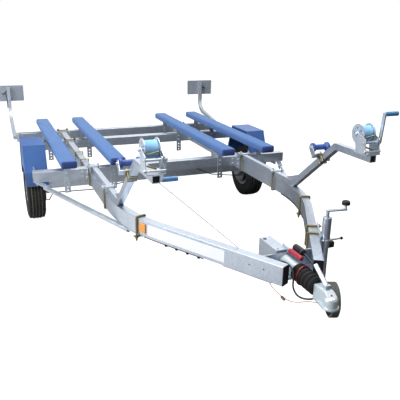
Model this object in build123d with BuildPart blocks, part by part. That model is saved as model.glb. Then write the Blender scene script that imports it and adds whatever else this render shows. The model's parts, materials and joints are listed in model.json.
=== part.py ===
from build123d import *
from math import atan2, cos, degrees, hypot, radians, sin
import os

os.makedirs("parts", exist_ok=True)

# Twin personal-watercraft boat trailer, in mm.
# The frame is drawn level with y = 0 at the wheel line, +Y to the rear, +X to the
# trailer's own left and z = 0 under the tyres. At the end it is set down on its
# jockey wheel, nose a little low, as it parks.

# Stance
nose_down = 2.3
datum_shift = 700.0

# Road wheels
tyre_radius = 245.0
tyre_width = 147.0
tyre_wall = 12.0
bead_radius = 128.0
wheel_x = 1030.0
rim_half = 58.0
rim_gauge = 4.0
drum_radius = 98.0
drum_gauge = 8.0
drum_inset = 24.0
drum_width = 56.0
hub_radius = 45.0
hub_reach = 52.0
stub_radius = 20.0
running_gap = 0.4

# Main rails, drawbar ends included
rail_x = 640.0
rail_width = 50.0
rail_height = 100.0
rail_wall = 4.0
frame_top = 567.0
nose_x = 92.0
nose_y = -2659.0
nose_angle = 29.0
bend_radius = 1225.0

# Cross-members
cross_height = 78.0
cross_depth = 75.0
cross_wall = 3.0
cross_front_y = -615.0
cross_middle_y = 446.0
cross_rear_y = 901.0
cross_half = 1070.0
cleat_leg = 58.0
cleat_gauge = 6.0
cap_gauge = 4.0
cap_plug = 24.0

# Axle and suspension
axle_y = -130.0
axle_z = 333.0
axle_side = 70.0
axle_wall = 5.0
axle_half = 902.0
hanger_gauge = 8.0
hanger_length = 130.0
arm_gauge = 28.0
arm_pivot_radius = 46.0
arm_hub_radius = 38.0
backplate_gauge = 4.0
backplate_radius = 104.0
backplate_gap = 5.0

# Mudguards
guard_inner = 927.0
guard_outer = 1107.0
guard_top = 677.0
guard_flat = 165.0
guard_reach = 250.0
guard_shoulder = 468.0
guard_hem = 352.0
guard_gauge = 4.0
guard_lip = 18.0
stay_x = 1040.0
stay_gauge = 8.0
stay_height = 82.0

# Bunks and their drilled uprights
bunk_offset = 182.0
bunk_width = 105.0
bunk_height = 47.0
bunk_top = 679.0
bunk_front = -789.0
bunk_rear = 1077.0
bunk_round = 12.0
upright_width = 45.0
upright_gauge = 6.0
upright_foot = 390.0
upright_shelf = 66.0
upright_hole = 7.0
upright_pitch = 28.0
upright_holes = 3

# Diagonal braces from the front cross-member to the drawbar
brace_radius = 17.0
brace_tab = 130.0
brace_tab_gauge = 8.0
brace_front_y = -1790.0
brace_rear_inset = 25.0
brace_rear_seat = 0.6
brace_front_seat = 4.8

# Winch posts
post_side = 40.0
post_inset = 12.0
post_wall = 3.0
post_rear_y = -640.0
post_foot_y = -1540.0
post_bend_y = -1990.0
post_head_y = -2325.0
post_head_top = 972.0
gusset_gauge = 6.0
gusset_leg = 110.0
clamp_rod = 6.0
clamp_ys = (-720.0, -1270.0)

# Snub rollers
snub_along = 410.0
snub_rise = 80.0
snub_half = 58.0
snub_flange = 30.0
snub_waist = 18.0
snub_end = 12.0
snub_gauge = 5.0
snub_base = 60.0
snub_pin = 8.0

# Winches
drum_y = -2222.0
drum_z = 1076.0
drum_flange = 57.0
drum_half = 36.0
drum_hole = 9.0
drum_hole_ring = 31.0
drum_holes = 5
drum_core = 16.0
strap_radius = 45.0
strap_half = 32.0
frame_half = 45.0
frame_gauge = 4.0
frame_length = 110.0
frame_setback = 45.0
frame_eye = 17.0
spacer_radius = 6.0
spindle_radius = 8.0
crank_dy = -66.0
crank_dz = -38.0
crank_radius = 7.0
crank_arm = 158.0
crank_gauge = 8.0
crank_width = 22.0
crank_clear = 9.0
pinion_radius = 18.5
pinion_width = 4.0
grip_length = 84.0
grip_radius = 13.0
crank_left_angle = 95.0
crank_right_angle = 305.0

# Coupling and overrun unit
plate_gauge = 8.0
plate_setback = 12.0
plate_length = 255.0
shaft_z = 507.0
shaft_radius = 22.0
housing_radius = 38.0
housing_front = -2622.0
housing_foot = 60.0
bellows_length = 178.0
bellows_crest = 46.0
bellows_root = 36.0
bellows_folds = 6
ball_setback = 105.0
ball_z = 480.0
ball_socket = 25.2
head_half = 38.0
head_rear_half = 26.0
head_ridge = 24.0
head_dome = 33.0
head_dome_top = 512.0
head_dome_round = 16.0
head_skirt = 9.0
head_round = 9.0
head_top = 532.0
head_bottom = 456.0
lever_radius = 11.0
lever_foot_setback = 43.0
lever_foot_z = 546.0
lever_tip_setback = 139.0
lever_tip_z = 606.0
bulkhead_gauge = 8.0
bulkhead_y = -2492.0
bulkhead_drop = 12.0
channel_length = 182.0
channel_left = 15.0
channel_right = -52.0
channel_top = 570.0
channel_gauge = 5.0
brake_z = 568.0
brake_grip_length = 110.0
brake_reach = 20.0
brake_grip_radius = 13.0
brake_bar_gauge = 8.0
brake_bar_height = 26.0
brake_bar_setback = 52.0

# Jockey wheel, beside the left drawbar arm
jockey_back = 286.0
jockey_out = 57.0
sleeve_radius = 24.0
sleeve_wall = 3.0
sleeve_top = 689.0
sleeve_bottom = 520.0
leg_radius = 20.0
leg_top = 552.0
leg_bottom = 285.0
leg_wall = 3.0
leg_plug = 14.0
kingpin_radius = 8.0
swivel_gap = 2.0
fork_radius = 24.0
fork_gauge = 6.0
fork_head = 14.0
jockey_radius = 100.0
jockey_width = 50.0
jockey_rim = 62.0
jockey_axle = 8.0
jockey_turn = 20.0
jockey_gap = 20.0
clamp_height = 44.0
clamp_plate_gauge = 8.0
clamp_plate_height = 144.0
clamp_plate_front = 262.0
clamp_plate_rear = 485.0
hook_alongs = (345.0, 455.0)
tee_length = 95.0
tee_radius = 5.5
tee_ball = 9.0
tee_z = 556.0
jack_turn = 8.0
jack_crank = 100.0
jack_knob = 22.0
jack_knob_rise = 46.0

# Lamp posts and boards
lamp_reach = 38.0
lamp_y = 1530.0
lamp_tube = 34.0
lamp_rise = 10.0
lamp_bend = 150.0
board_width = 310.0
board_height = 165.0
board_bottom = 808.0
board_gauge = 3.0
lamp_width = 230.0
lamp_height = 105.0
lamp_depth = 46.0

# Panels on the drawbar's outer faces
panel_start_right = 345.0
panel_start_left = 505.0
panel_on_bend = 87.0
panel_height = 66.0
panel_gauge = 1.5
reflector_side = 54.0
reflector_gauge = 6.0
reflector_on_bend = 131.0
hoop_on_bend = 181.7324

# Cables: points are (x, y, z) in the level frame
lead_radius = 4.5
lead_route = (
    (-78.0, -2502.0, 528.0),
    (-72.0, -2558.0, 546.0),
    (-60.0, -2615.0, 560.0),
    (-57.0, -2664.0, 548.0),
    (-64.0, -2690.0, 510.0),
    (-67.0, -2692.0, 460.0),
    (-52.0, -2725.0, 424.0),
    (-8.0, -2765.0, 424.0),
    (40.0, -2760.0, 434.0),
    (68.0, -2725.0, 466.0),
    (70.0, -2690.0, 512.0),
    (57.0, -2660.0, 554.0),
    (58.0, -2615.0, 570.0),
    (58.0, -2578.0, 574.5),
)
plug_radius = 19.0
plug_length = 80.0
plug_gap = 0.8
breakaway_radius = 2.0
breakaway_route = (
    (-90.0, -2470.0, 458.0),
    (-90.0, -2480.0, 424.0),
    (-89.0, -2520.0, 397.0),
    (-88.0, -2575.0, 388.0),
    (-87.0, -2630.0, 388.0),
    (-86.0, -2685.0, 396.0),
    (-82.0, -2735.0, 410.0),
    (-70.0, -2780.0, 432.0),
    (-56.0, -2820.0, 456.0),
    (-34.3, -2853.0, 460.5),
)
loom_radius = 4.0
loom_offset = 20.0
loom_start_y = -1835.0
loom_end = 490.0
hose_radius = 4.0
hose_bend = 70.0
hose_route = (
    (936.0, -60.0, 170.0),
    (926.0, -150.0, 190.0),
    (920.0, -420.0, 330.0),
    (900.0, -600.0, 396.0),
    (627.0, -606.0, 392.0),
    (384.0, -600.0, 424.0),
    (250.0, -580.0, 485.4),
)
tie_radius = 2.5
tie_top = (-616.0, -2110.0, 929.8)
tie_foot = (-216.0, -2394.0, 569.2)

# Derived levels and places
rail_bottom = frame_top - rail_height
post_x = rail_x - post_inset
cross_bottom = frame_top - cross_height
cross_mid_z = frame_top - cross_height / 2
turn = radians(nose_angle)
arm_run = (rail_x - nose_x - bend_radius * (1 - cos(turn))) / sin(turn)
back_x, back_y = sin(turn), cos(turn)
out_x, out_y = cos(turn), -sin(turn)
bend_front_x = nose_x + arm_run * back_x
bend_front_y = nose_y + arm_run * back_y
bend_centre_x = bend_front_x - bend_radius * cos(turn)
bend_centre_y = bend_front_y + bend_radius * sin(turn)
rail_rear = cross_rear_y
bunk_bottom = bunk_top - bunk_height
post_z = frame_top + post_side / 2
head_z = post_head_top - post_side / 2
post_run = hypot(post_bend_y - post_foot_y, head_z - post_z)
post_dy = (post_bend_y - post_foot_y) / post_run
post_dz = (head_z - post_z) / post_run
snub_y = post_foot_y + snub_along * post_dy + snub_rise * post_dz
snub_z = post_z + snub_along * post_dz - snub_rise * post_dy
crank_y = drum_y + crank_dy
crank_z = drum_z + crank_dz
crank_plane = frame_half + frame_gauge + crank_clear
jockey_x = nose_x + jockey_back * back_x + jockey_out * out_x
jockey_y = nose_y + jockey_back * back_y + jockey_out * out_y
jockey_side = leg_radius + fork_gauge + jockey_gap + jockey_width / 2
fork_top = leg_bottom - swivel_gap
jockey_heading = radians(jockey_turn)
jockey_drop = (jockey_y - jockey_side * sin(jockey_heading)) * sin(radians(nose_down))
jockey_z = tyre_radius + (jockey_radius - tyre_radius - jockey_drop) / cos(radians(nose_down))
brace_rear_x = cross_half - brace_rear_inset
lamp_x = cross_half + lamp_reach
housing_back = bulkhead_y - bulkhead_gauge
plate_front = housing_front + plate_setback
plate_rear = plate_front + plate_length
bellows_front = housing_front - bellows_length
ball_y = bellows_front - ball_setback
lever_foot = (ball_y + lever_foot_setback, lever_foot_z)
lever_tip = (ball_y + lever_tip_setback, lever_tip_z)
channel_rear = bulkhead_y + channel_length
brake_grip_rear = bulkhead_y - brake_reach
brake_grip_front = brake_grip_rear - brake_grip_length
brake_bar_rear = bulkhead_y + brake_bar_setback
swing_inner = axle_half
swing_outer = axle_half + arm_gauge
backplate_x = wheel_x - drum_inset - drum_width - backplate_gap - backplate_gauge
wheel_axis = Axis((0, 0, tyre_radius), (1, 0, 0))

park = Pos(0, datum_shift, tyre_radius) * Rot(nose_down, 0, 0) * Pos(0, 0, -tyre_radius)


def export_one(solid, label):
    solid.label = label
    export_step(solid, f"parts/{label}.step")


def keep(builder, label):
    export_one(builder.part.moved(park), label)


def keep_mirrored(builder, label):
    keep(builder, f"{label}_left")
    export_one(mirror(builder.part, about=Plane.YZ).moved(park), f"{label}_right")


def keep_shifted(builder, label):
    for side, x in (("left", post_x), ("right", -post_x)):
        export_one(builder.part.moved(park * Pos(x, 0, 0)), f"{label}_{side}")


def keep_both(builder, label):
    """One node of two like solids, one at each winch post."""
    with BuildPart() as both:
        with Locations((post_x, 0, 0), (-post_x, 0, 0)):
            add(builder.part)
    keep(both, label)


def side_plane(x):
    return Plane.YZ.offset(x)


def mitred(points, inner, outer):
    """Closed outline of a bent strip: offset points to its left and to its right."""
    left, right = [], []
    for i, (y, z) in enumerate(points):
        normals = []
        for a, b in zip(points[max(i - 1, 0):i + 1], points[max(i, 1):i + 2]):
            length = hypot(b[0] - a[0], b[1] - a[1])
            normals.append((-(b[1] - a[1]) / length, (b[0] - a[0]) / length))
        if i in (0, len(points) - 1):
            normals = normals[:1]
        ny = sum(n[0] for n in normals) / len(normals)
        nz = sum(n[1] for n in normals) / len(normals)
        size = ny * ny + nz * nz
        left.append((y + ny / size * inner, z + nz / size * inner))
        right.append((y + ny / size * outer, z + nz / size * outer))
    return left + right[::-1]


def rail_plan(half):
    """Plan outline of the left rail, its drawbar bend included."""
    def on_bend(angle, radius):
        return (bend_centre_x + radius * cos(angle), bend_centre_y - radius * sin(angle))

    wide, tight = bend_radius + half, bend_radius - half
    nose_out = (nose_x + out_x * half, nose_y + out_y * half)
    nose_in = (nose_x - out_x * half, nose_y - out_y * half)
    with BuildLine() as plan:
        Line(nose_out, on_bend(turn, wide))
        ThreePointArc(on_bend(turn, wide), on_bend(turn / 2, wide), on_bend(0, wide))
        Polyline(on_bend(0, wide), (rail_x + half, rail_rear), (rail_x - half, rail_rear), on_bend(0, tight))
        ThreePointArc(on_bend(0, tight), on_bend(turn / 2, tight), on_bend(turn, tight))
        Polyline(on_bend(turn, tight), nose_in, nose_out)
    make_face(plan.edges())


def arm_plane(along, off, z):
    """Plane on the left arm's outer face: local x runs back along it, local y is up."""
    x = nose_x + along * back_x + off * out_x
    y = nose_y + along * back_y + off * out_y
    return Plane(origin=(x, y, z), x_dir=(back_x, back_y, 0), z_dir=(out_x, out_y, 0))


def spun(points, axis, plane):
    """Solid of revolution from a closed outline of (along, radius) points."""
    with BuildSketch(plane) as outline:
        with BuildLine():
            Polyline(*points, close=True)
        make_face()
    revolve(outline.sketch, axis=axis)


# Main rails: one bent box section each
with BuildPart() as rail:
    with BuildSketch(Plane.XY.offset(rail_bottom)):
        rail_plan(rail_width / 2)
    extrude(amount=rail_height)
    with BuildSketch(Plane.XY.offset(rail_bottom + rail_wall)):
        rail_plan(rail_width / 2 - rail_wall)
    extrude(amount=rail_height - 2 * rail_wall, mode=Mode.SUBTRACT)
keep_mirrored(rail, "rail")

# Moulded caps in the drawbar's front ends
with BuildPart() as cap:
    nose = Plane(
        origin=(nose_x, nose_y, rail_bottom + rail_height / 2),
        x_dir=(out_x, out_y, 0),
        z_dir=(-back_x, -back_y, 0),
    )
    with BuildSketch(nose):
        Rectangle(rail_width, rail_height)
    extrude(amount=cap_gauge)
    with BuildSketch(nose):
        Rectangle(rail_width - 2 * rail_wall - 1, rail_height - 2 * rail_wall - 1)
    extrude(amount=-cap_plug)
    mirror(about=Plane.YZ)
keep(cap, "rail_caps")


def cross_member(front_y, spans):
    """Box sections along X whose front face lies at front_y."""
    for start, stop in spans:
        with BuildSketch(side_plane(start)) as section:
            with Locations((front_y + cross_depth / 2, cross_mid_z)):
                Rectangle(cross_depth, cross_height)
                Rectangle(cross_depth - 2 * cross_wall, cross_height - 2 * cross_wall, mode=Mode.SUBTRACT)
        extrude(section.sketch, amount=stop - start)


# Cross-members: the front and middle ones are cut at the rails, the rear one runs through
rail_in = rail_x - rail_width / 2
rail_out = rail_x + rail_width / 2
cut_spans = ((-cross_half, -rail_out), (-rail_in, rail_in), (rail_out, cross_half))
with BuildPart() as cross_front:
    cross_member(cross_front_y, cut_spans)
keep(cross_front, "cross_front")

with BuildPart() as cross_middle:
    cross_member(cross_middle_y, cut_spans)
keep(cross_middle, "cross_middle")

with BuildPart() as cross_rear:
    cross_member(cross_rear_y, ((-cross_half, cross_half),))
keep(cross_rear, "cross_rear")

# Angle cleats that bolt the cross-members to the rails
with BuildPart() as cleats:
    for front_y in (cross_front_y, cross_middle_y, cross_rear_y):
        for face_x, way in ((rail_in, -1), (rail_out, 1)):
            with BuildSketch(Plane.XY.offset(cross_bottom)):
                with BuildLine():
                    Polyline(
                        (face_x, front_y),
                        (face_x, front_y - cleat_leg),
                        (face_x + way * cleat_gauge, front_y - cleat_leg),
                        (face_x + way * cleat_gauge, front_y - cleat_gauge),
                        (face_x + way * cleat_leg, front_y - cleat_gauge),
                        (face_x + way * cleat_leg, front_y),
                        close=True,
                    )
                make_face()
            extrude(amount=cross_height)
    mirror(about=Plane.YZ)

# Axle tube and the plates that hang it from the rails
with BuildPart() as axle:
    with BuildSketch(side_plane(-axle_half)):
        with Locations((axle_y, axle_z)):
            Rectangle(axle_side, axle_side)
            Rectangle(axle_side - 2 * axle_wall, axle_side - 2 * axle_wall, mode=Mode.SUBTRACT)
    extrude(amount=2 * axle_half)
keep(axle, "axle_beam")

hanger_foot = axle_z + axle_side / 2
hanger_top = rail_bottom + rail_height * 0.8
with BuildPart() as hangers:
    for x in (rail_in - hanger_gauge, rail_out):
        with BuildSketch(side_plane(x)):
            with BuildLine():
                Polyline(
                    (axle_y - axle_side / 2, hanger_foot),
                    (axle_y + axle_side / 2, hanger_foot),
                    (axle_y + hanger_length / 2, rail_bottom),
                    (axle_y + hanger_length / 2, hanger_top),
                    (axle_y - hanger_length / 2, hanger_top),
                    (axle_y - hanger_length / 2, rail_bottom),
                    close=True,
                )
            make_face()
        extrude(amount=hanger_gauge)
    mirror(about=Plane.YZ)
keep(hangers, "axle_hangers")

# Trailing arm, stub axle and brake backplate of one wheel
stub_tip = wheel_x - drum_inset + hub_reach - 6.0
with BuildPart() as swing:
    with BuildSketch(side_plane(swing_inner)) as swing_plan:
        with Locations((axle_y, axle_z)):
            Circle(arm_pivot_radius)
        with Locations((0, tyre_radius)):
            Circle(arm_hub_radius)
        make_hull()
    extrude(amount=arm_gauge)
    with BuildSketch(side_plane(swing_outer)):
        with Locations((0, tyre_radius)):
            Circle(stub_radius)
    extrude(amount=stub_tip - swing_outer)
    with BuildSketch(side_plane(backplate_x)):
        with Locations((0, tyre_radius)):
            Circle(backplate_radius)
    extrude(amount=backplate_gauge)
    mirror(about=Plane.YZ)
keep(swing, "swing_arms")

# Brake drum with hub, rim and tyre, which turn together
hub_plane = Plane(origin=(wheel_x, 0, tyre_radius), x_dir=(1, 0, 0), z_dir=(0, -1, 0))
drum_face = -drum_inset
drum_open = drum_face - drum_width
stub_bore = stub_radius + running_gap
with BuildPart() as drum:
    spun(
        (
            (drum_open, drum_radius - drum_gauge),
            (drum_open, drum_radius),
            (drum_face, drum_radius),
            (drum_face, hub_radius),
            (drum_face + hub_reach, hub_radius),
            (drum_face + hub_reach, stub_bore + 9),
            (drum_face + hub_reach + 16, stub_bore + 4),
            (drum_face + hub_reach + 16, 0),
            (drum_face + hub_reach, 0),
            (drum_face + hub_reach, stub_bore),
            (drum_open + 8, stub_bore),
            (drum_open + 8, hub_radius),
            (drum_face - drum_gauge, hub_radius),
            (drum_face - drum_gauge, drum_radius - drum_gauge),
        ),
        wheel_axis,
        hub_plane,
    )
keep_mirrored(drum, "brake_drum")

rim_lip = bead_radius + 12
rim_well = bead_radius - 12
rim_disc = 6.0
with BuildPart() as rim:
    spun(
        (
            (-rim_half - rim_gauge, rim_lip),
            (-rim_half, rim_lip),
            (-rim_half, bead_radius),
            (-rim_half + 18, bead_radius - 1),
            (-rim_half + 28, rim_well),
            (rim_half - 28, rim_well),
            (rim_half - 18, bead_radius - 1),
            (rim_half, bead_radius),
            (rim_half, rim_lip),
            (rim_half + rim_gauge, rim_lip),
            (rim_half + rim_gauge, bead_radius - rim_gauge),
            (rim_half - 20, bead_radius - rim_gauge - 1),
            (rim_half - 30, rim_well - rim_gauge),
            (drum_face + rim_disc, rim_well - rim_gauge),
            (drum_face + rim_disc, hub_radius + running_gap),
            (drum_face, hub_radius + running_gap),
            (drum_face, rim_well - rim_gauge),
            (-rim_half + 30, rim_well - rim_gauge),
            (-rim_half + 20, bead_radius - rim_gauge - 1),
            (-rim_half - rim_gauge, bead_radius - rim_gauge),
        ),
        wheel_axis,
        hub_plane,
    )
keep_mirrored(rim, "rim")

half_tyre = tyre_width / 2
tyre_bead = bead_radius + 0.3
with BuildPart() as tyre:
    spun(
        (
            (-rim_half + 0.3, tyre_bead),
            (-rim_half + 0.3, tyre_bead + 12),
            (-half_tyre + 6, tyre_bead + 30),
            (-half_tyre, tyre_bead + 55),
            (-half_tyre + 4, tyre_radius - 28),
            (-half_tyre + 12, tyre_radius - 11),
            (-half_tyre + 24, tyre_radius - 2.5),
            (-half_tyre / 4, tyre_radius),
            (half_tyre / 4, tyre_radius),
            (half_tyre - 24, tyre_radius - 2.5),
            (half_tyre - 12, tyre_radius - 11),
            (half_tyre - 4, tyre_radius - 28),
            (half_tyre, tyre_bead + 55),
            (half_tyre - 6, tyre_bead + 30),
            (rim_half - 0.3, tyre_bead + 12),
            (rim_half - 0.3, tyre_bead),
            (rim_half - 16, tyre_bead),
            (rim_half - 16, tyre_bead + 14),
            (half_tyre - tyre_wall - 4, tyre_bead + 40),
            (half_tyre - tyre_wall - 4, tyre_radius - 32),
            (half_tyre - tyre_wall - 22, tyre_radius - tyre_wall),
            (-half_tyre + tyre_wall + 22, tyre_radius - tyre_wall),
            (-half_tyre + tyre_wall + 4, tyre_radius - 32),
            (-half_tyre + tyre_wall + 4, tyre_bead + 40),
            (-rim_half + 16, tyre_bead + 14),
            (-rim_half + 16, tyre_bead),
        ),
        wheel_axis,
        hub_plane,
    )
keep_mirrored(tyre, "tyre")

# Mudguard: a folded panel with turned-in side edges
guard_line = (
    (-guard_reach, guard_hem),
    (-guard_reach, guard_shoulder),
    (-guard_flat, guard_top),
    (guard_flat, guard_top),
    (guard_reach, guard_shoulder),
    (guard_reach, guard_hem),
)
with BuildPart() as guard:
    for x, width, depth in (
        (guard_inner, guard_outer - guard_inner, guard_gauge),
        (guard_inner, guard_gauge, guard_lip),
        (guard_outer - guard_gauge, guard_gauge, guard_lip),
    ):
        with BuildSketch(side_plane(x)):
            with BuildLine():
                Polyline(*mitred(guard_line, 0, -depth), close=True)
            make_face()
        extrude(amount=width)
    mirror(about=Plane.YZ)
keep(guard, "mudguards")

# Flat stays that carry the mudguard between the front and middle cross-members
stay_top = cross_bottom + stay_height * 0.4
with BuildPart() as stays:
    for start, stop in ((cross_front_y + cross_depth, -guard_reach), (guard_reach, cross_middle_y)):
        with BuildSketch(side_plane(stay_x - stay_gauge / 2)):
            with Locations(((start + stop) / 2, stay_top - stay_height / 2)):
                Rectangle(stop - start, stay_height)
        extrude(amount=stay_gauge)
    mirror(about=Plane.YZ)
keep(stays, "guard_stays")

# Carpeted bunks, a pair astride each rail
bunk_length = bunk_rear - bunk_front
with BuildPart() as bunks:
    with BuildSketch(Plane.XZ.offset(-bunk_rear)):
        for x in (rail_x - bunk_offset, rail_x + bunk_offset):
            with Locations((x, bunk_bottom + bunk_height / 2)):
                RectangleRounded(bunk_width, bunk_height, bunk_round)
    extrude(amount=bunk_length)
    mirror(about=Plane.YZ)
keep(bunks, "bunks")

# Drilled uprights that carry the bunks on the cross-members' front faces
with BuildPart() as uprights:
    for front_y in (cross_front_y, cross_middle_y, cross_rear_y):
        for x in (rail_x - bunk_offset, rail_x + bunk_offset):
            with BuildSketch(side_plane(x - upright_width / 2)):
                with BuildLine():
                    Polyline(
                        (front_y, upright_foot),
                        (front_y - upright_gauge, upright_foot),
                        (front_y - upright_gauge, bunk_bottom),
                        (front_y - upright_gauge + upright_shelf, bunk_bottom),
                        (front_y - upright_gauge + upright_shelf, bunk_bottom - upright_gauge),
                        (front_y, bunk_bottom - upright_gauge),
                        close=True,
                    )
                make_face()
            extrude(amount=upright_width)
            with BuildSketch(Plane.XZ.offset(-front_y)):
                for i in range(upright_holes):
                    with Locations((x, upright_foot + 18 + i * upright_pitch)):
                        Circle(upright_hole)
            extrude(amount=upright_gauge, mode=Mode.SUBTRACT)
    mirror(about=Plane.YZ)
keep(uprights, "bunk_uprights")

# Diagonal brace tubes with flattened ends, under the frame
brace_front_x = bend_centre_x + (bend_radius ** 2 - (brace_front_y - bend_centre_y) ** 2) ** 0.5
brace_start = (brace_rear_x, cross_front_y + cross_depth / 2, cross_bottom - brace_rear_seat)
brace_end = (brace_front_x, brace_front_y, rail_bottom - brace_front_seat)
brace_way = tuple(b - a for a, b in zip(brace_start, brace_end))
brace_long = sum(v * v for v in brace_way) ** 0.5
brace_unit = tuple(v / brace_long for v in brace_way)
brace_plane = Plane(origin=brace_start, x_dir=(-brace_unit[1], brace_unit[0], 0), z_dir=brace_unit)
with BuildPart() as brace:
    with BuildSketch(brace_plane.offset(brace_tab)):
        with Locations((0, -brace_radius)):
            Circle(brace_radius)
    extrude(amount=brace_long - 2 * brace_tab)
    for start in (-brace_tab * 0.2, brace_long - brace_tab * 1.2):
        with BuildSketch(brace_plane.offset(start)):
            with Locations((0, -brace_tab_gauge / 2)):
                Rectangle(brace_radius * 2.2, brace_tab_gauge)
        extrude(amount=brace_tab * 1.4)
    mirror(about=Plane.YZ)
keep(brace, "braces")

# Winch post: a square tube that lies on the rail, rises and turns forward
gusset_y = post_foot_y + post_dy * gusset_leg
gusset_z = post_z + post_dz * gusset_leg
post_line = ((post_rear_y, post_z), (post_foot_y, post_z), (post_bend_y, head_z), (post_head_y, head_z))
with BuildPart() as post:
    with BuildSketch(side_plane(-post_side / 2)):
        with BuildLine():
            Polyline(*mitred(post_line, post_side / 2, -post_side / 2), close=True)
        make_face()
    extrude(amount=post_side)
    with BuildSketch(side_plane(-post_side / 2 + post_wall)):
        with BuildLine():
            Polyline(*mitred(post_line, post_side / 2 - post_wall, -post_side / 2 + post_wall), close=True)
        make_face()
    extrude(amount=post_side - 2 * post_wall, mode=Mode.SUBTRACT)
    with BuildSketch(side_plane(-gusset_gauge / 2)):
        with BuildLine():
            Polyline(
                (post_foot_y + gusset_leg, post_z + post_side / 2),
                (gusset_y + post_dz * post_side / 2, gusset_z - post_dy * post_side / 2),
                (gusset_y, gusset_z),
                (post_foot_y, post_z + post_side / 2 - post_wall),
                close=True,
            )
        make_face()
    extrude(amount=gusset_gauge)
keep_both(post, "winch_posts")

# U-bolts with cross plates that clamp each winch post to its rail
def u_bolt(*points):
    """Round bar bent through the points."""
    with BuildLine() as hoop:
        FilletPolyline(*points, radius=clamp_rod + 0.8)
    with BuildSketch(Plane(origin=hoop.line @ 0, z_dir=hoop.line % 0)) as section:
        Circle(clamp_rod)
    sweep(section.sketch, path=hoop.line)


def arm_point(along, off, z):
    return (nose_x + along * back_x + off * out_x, nose_y + along * back_y + off * out_y, z)


def bend_point(angle, off, z):
    radius = bend_radius + off
    return (bend_centre_x + radius * cos(angle), bend_centre_y - radius * sin(angle), z)


clamp_out = rail_width / 2 + clamp_rod + 1
clamp_in = max(rail_width / 2, post_side / 2 + post_inset) + clamp_rod + 1
clamp_low = rail_bottom - clamp_rod
clamp_high = post_z + post_side / 2
hoop_seat = rail_bottom - brace_front_seat - brace_tab_gauge - 0.5
hoop_end = hoop_seat - 30
hook_low = rail_bottom - plate_gauge - clamp_rod - 0.5
hook_high = frame_top + clamp_rod
hook_end = rail_width / 2 + clamp_plate_gauge + 16
hoop_turn = turn - hoop_on_bend / bend_radius
with BuildPart() as clamps:
    for y in clamp_ys:
        u_bolt(
            (rail_x - clamp_in, y, clamp_high + 26),
            (rail_x - clamp_in, y, clamp_low),
            (rail_x + clamp_out, y, clamp_low),
            (rail_x + clamp_out, y, clamp_high + 26),
        )
        with BuildSketch(Plane.XY.offset(clamp_high)):
            with Locations((rail_x + (clamp_out - clamp_in) / 2, y)):
                Rectangle(clamp_out + clamp_in + 28, 36)
        extrude(amount=6)
    u_bolt(
        bend_point(hoop_turn, -clamp_out, hoop_end),
        bend_point(hoop_turn, -clamp_out, frame_top + clamp_rod),
        bend_point(hoop_turn, clamp_out, frame_top + clamp_rod),
        bend_point(hoop_turn, clamp_out, hoop_end),
    )
    hoop_plane = Plane(
        origin=bend_point(hoop_turn, 0, hoop_seat - 6),
        x_dir=(cos(hoop_turn), -sin(hoop_turn), 0),
        z_dir=(0, 0, 1),
    )
    with BuildSketch(hoop_plane):
        Rectangle(2 * clamp_out + 28, 30)
    extrude(amount=6)
with BuildPart() as fixings:
    add(cleats.part)
    add(clamps.part)
    add(mirror(clamps.part, about=Plane.YZ, mode=Mode.PRIVATE))
    for along in hook_alongs:
        u_bolt(
            arm_point(along, hook_end, hook_high),
            arm_point(along, -clamp_out, hook_high),
            arm_point(along, -clamp_out, hook_low),
            arm_point(along, hook_end, hook_low),
        )
keep(fixings, "frame_clamps")

# Snub roller bracket: a bent strap on the post with two cheeks and the pin
snub_plane = Plane(
    origin=(0, post_foot_y + snub_along * post_dy, post_z + snub_along * post_dz),
    x_dir=(1, 0, 0),
    z_dir=(0, post_dz, -post_dy),
)
cheek_in = snub_half + 4
cheek_out = cheek_in + snub_gauge
with BuildPart() as snub_bracket:
    with BuildSketch(snub_plane.offset(post_side / 2)):
        Rectangle(2 * cheek_out, snub_base)
    extrude(amount=snub_gauge)
    for x in (-cheek_out, cheek_in):
        cheek_plane = Plane(origin=(x, snub_y, snub_z), x_dir=(0, post_dy, post_dz), z_dir=(1, 0, 0))
        with BuildSketch(cheek_plane):
            Circle(snub_base / 3)
            with Locations((0, (snub_rise - post_side / 2) / 2)):
                Rectangle(snub_base * 2 / 3, snub_rise - post_side / 2)
        extrude(amount=snub_gauge)
    with BuildSketch(Plane(origin=(-cheek_out - 8, snub_y, snub_z), x_dir=(0, 1, 0), z_dir=(1, 0, 0))):
        Circle(snub_pin)
    extrude(amount=2 * cheek_out + 16)
keep_both(snub_bracket, "snub_brackets")

snub_axis = Axis((0, snub_y, snub_z), (1, 0, 0))
with BuildPart() as snub:
    spun(
        (
            (-snub_half, snub_pin + running_gap),
            (-snub_half, snub_flange),
            (-snub_half + snub_end, snub_flange),
            (-snub_half + snub_end + 10, snub_waist),
            (snub_half - snub_end - 10, snub_waist),
            (snub_half - snub_end, snub_flange),
            (snub_half, snub_flange),
            (snub_half, snub_pin + running_gap),
        ),
        snub_axis,
        Plane(origin=(0, snub_y, snub_z), x_dir=(1, 0, 0), z_dir=(0, -1, 0)),
    )
keep_shifted(snub, "snub_roller")

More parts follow.
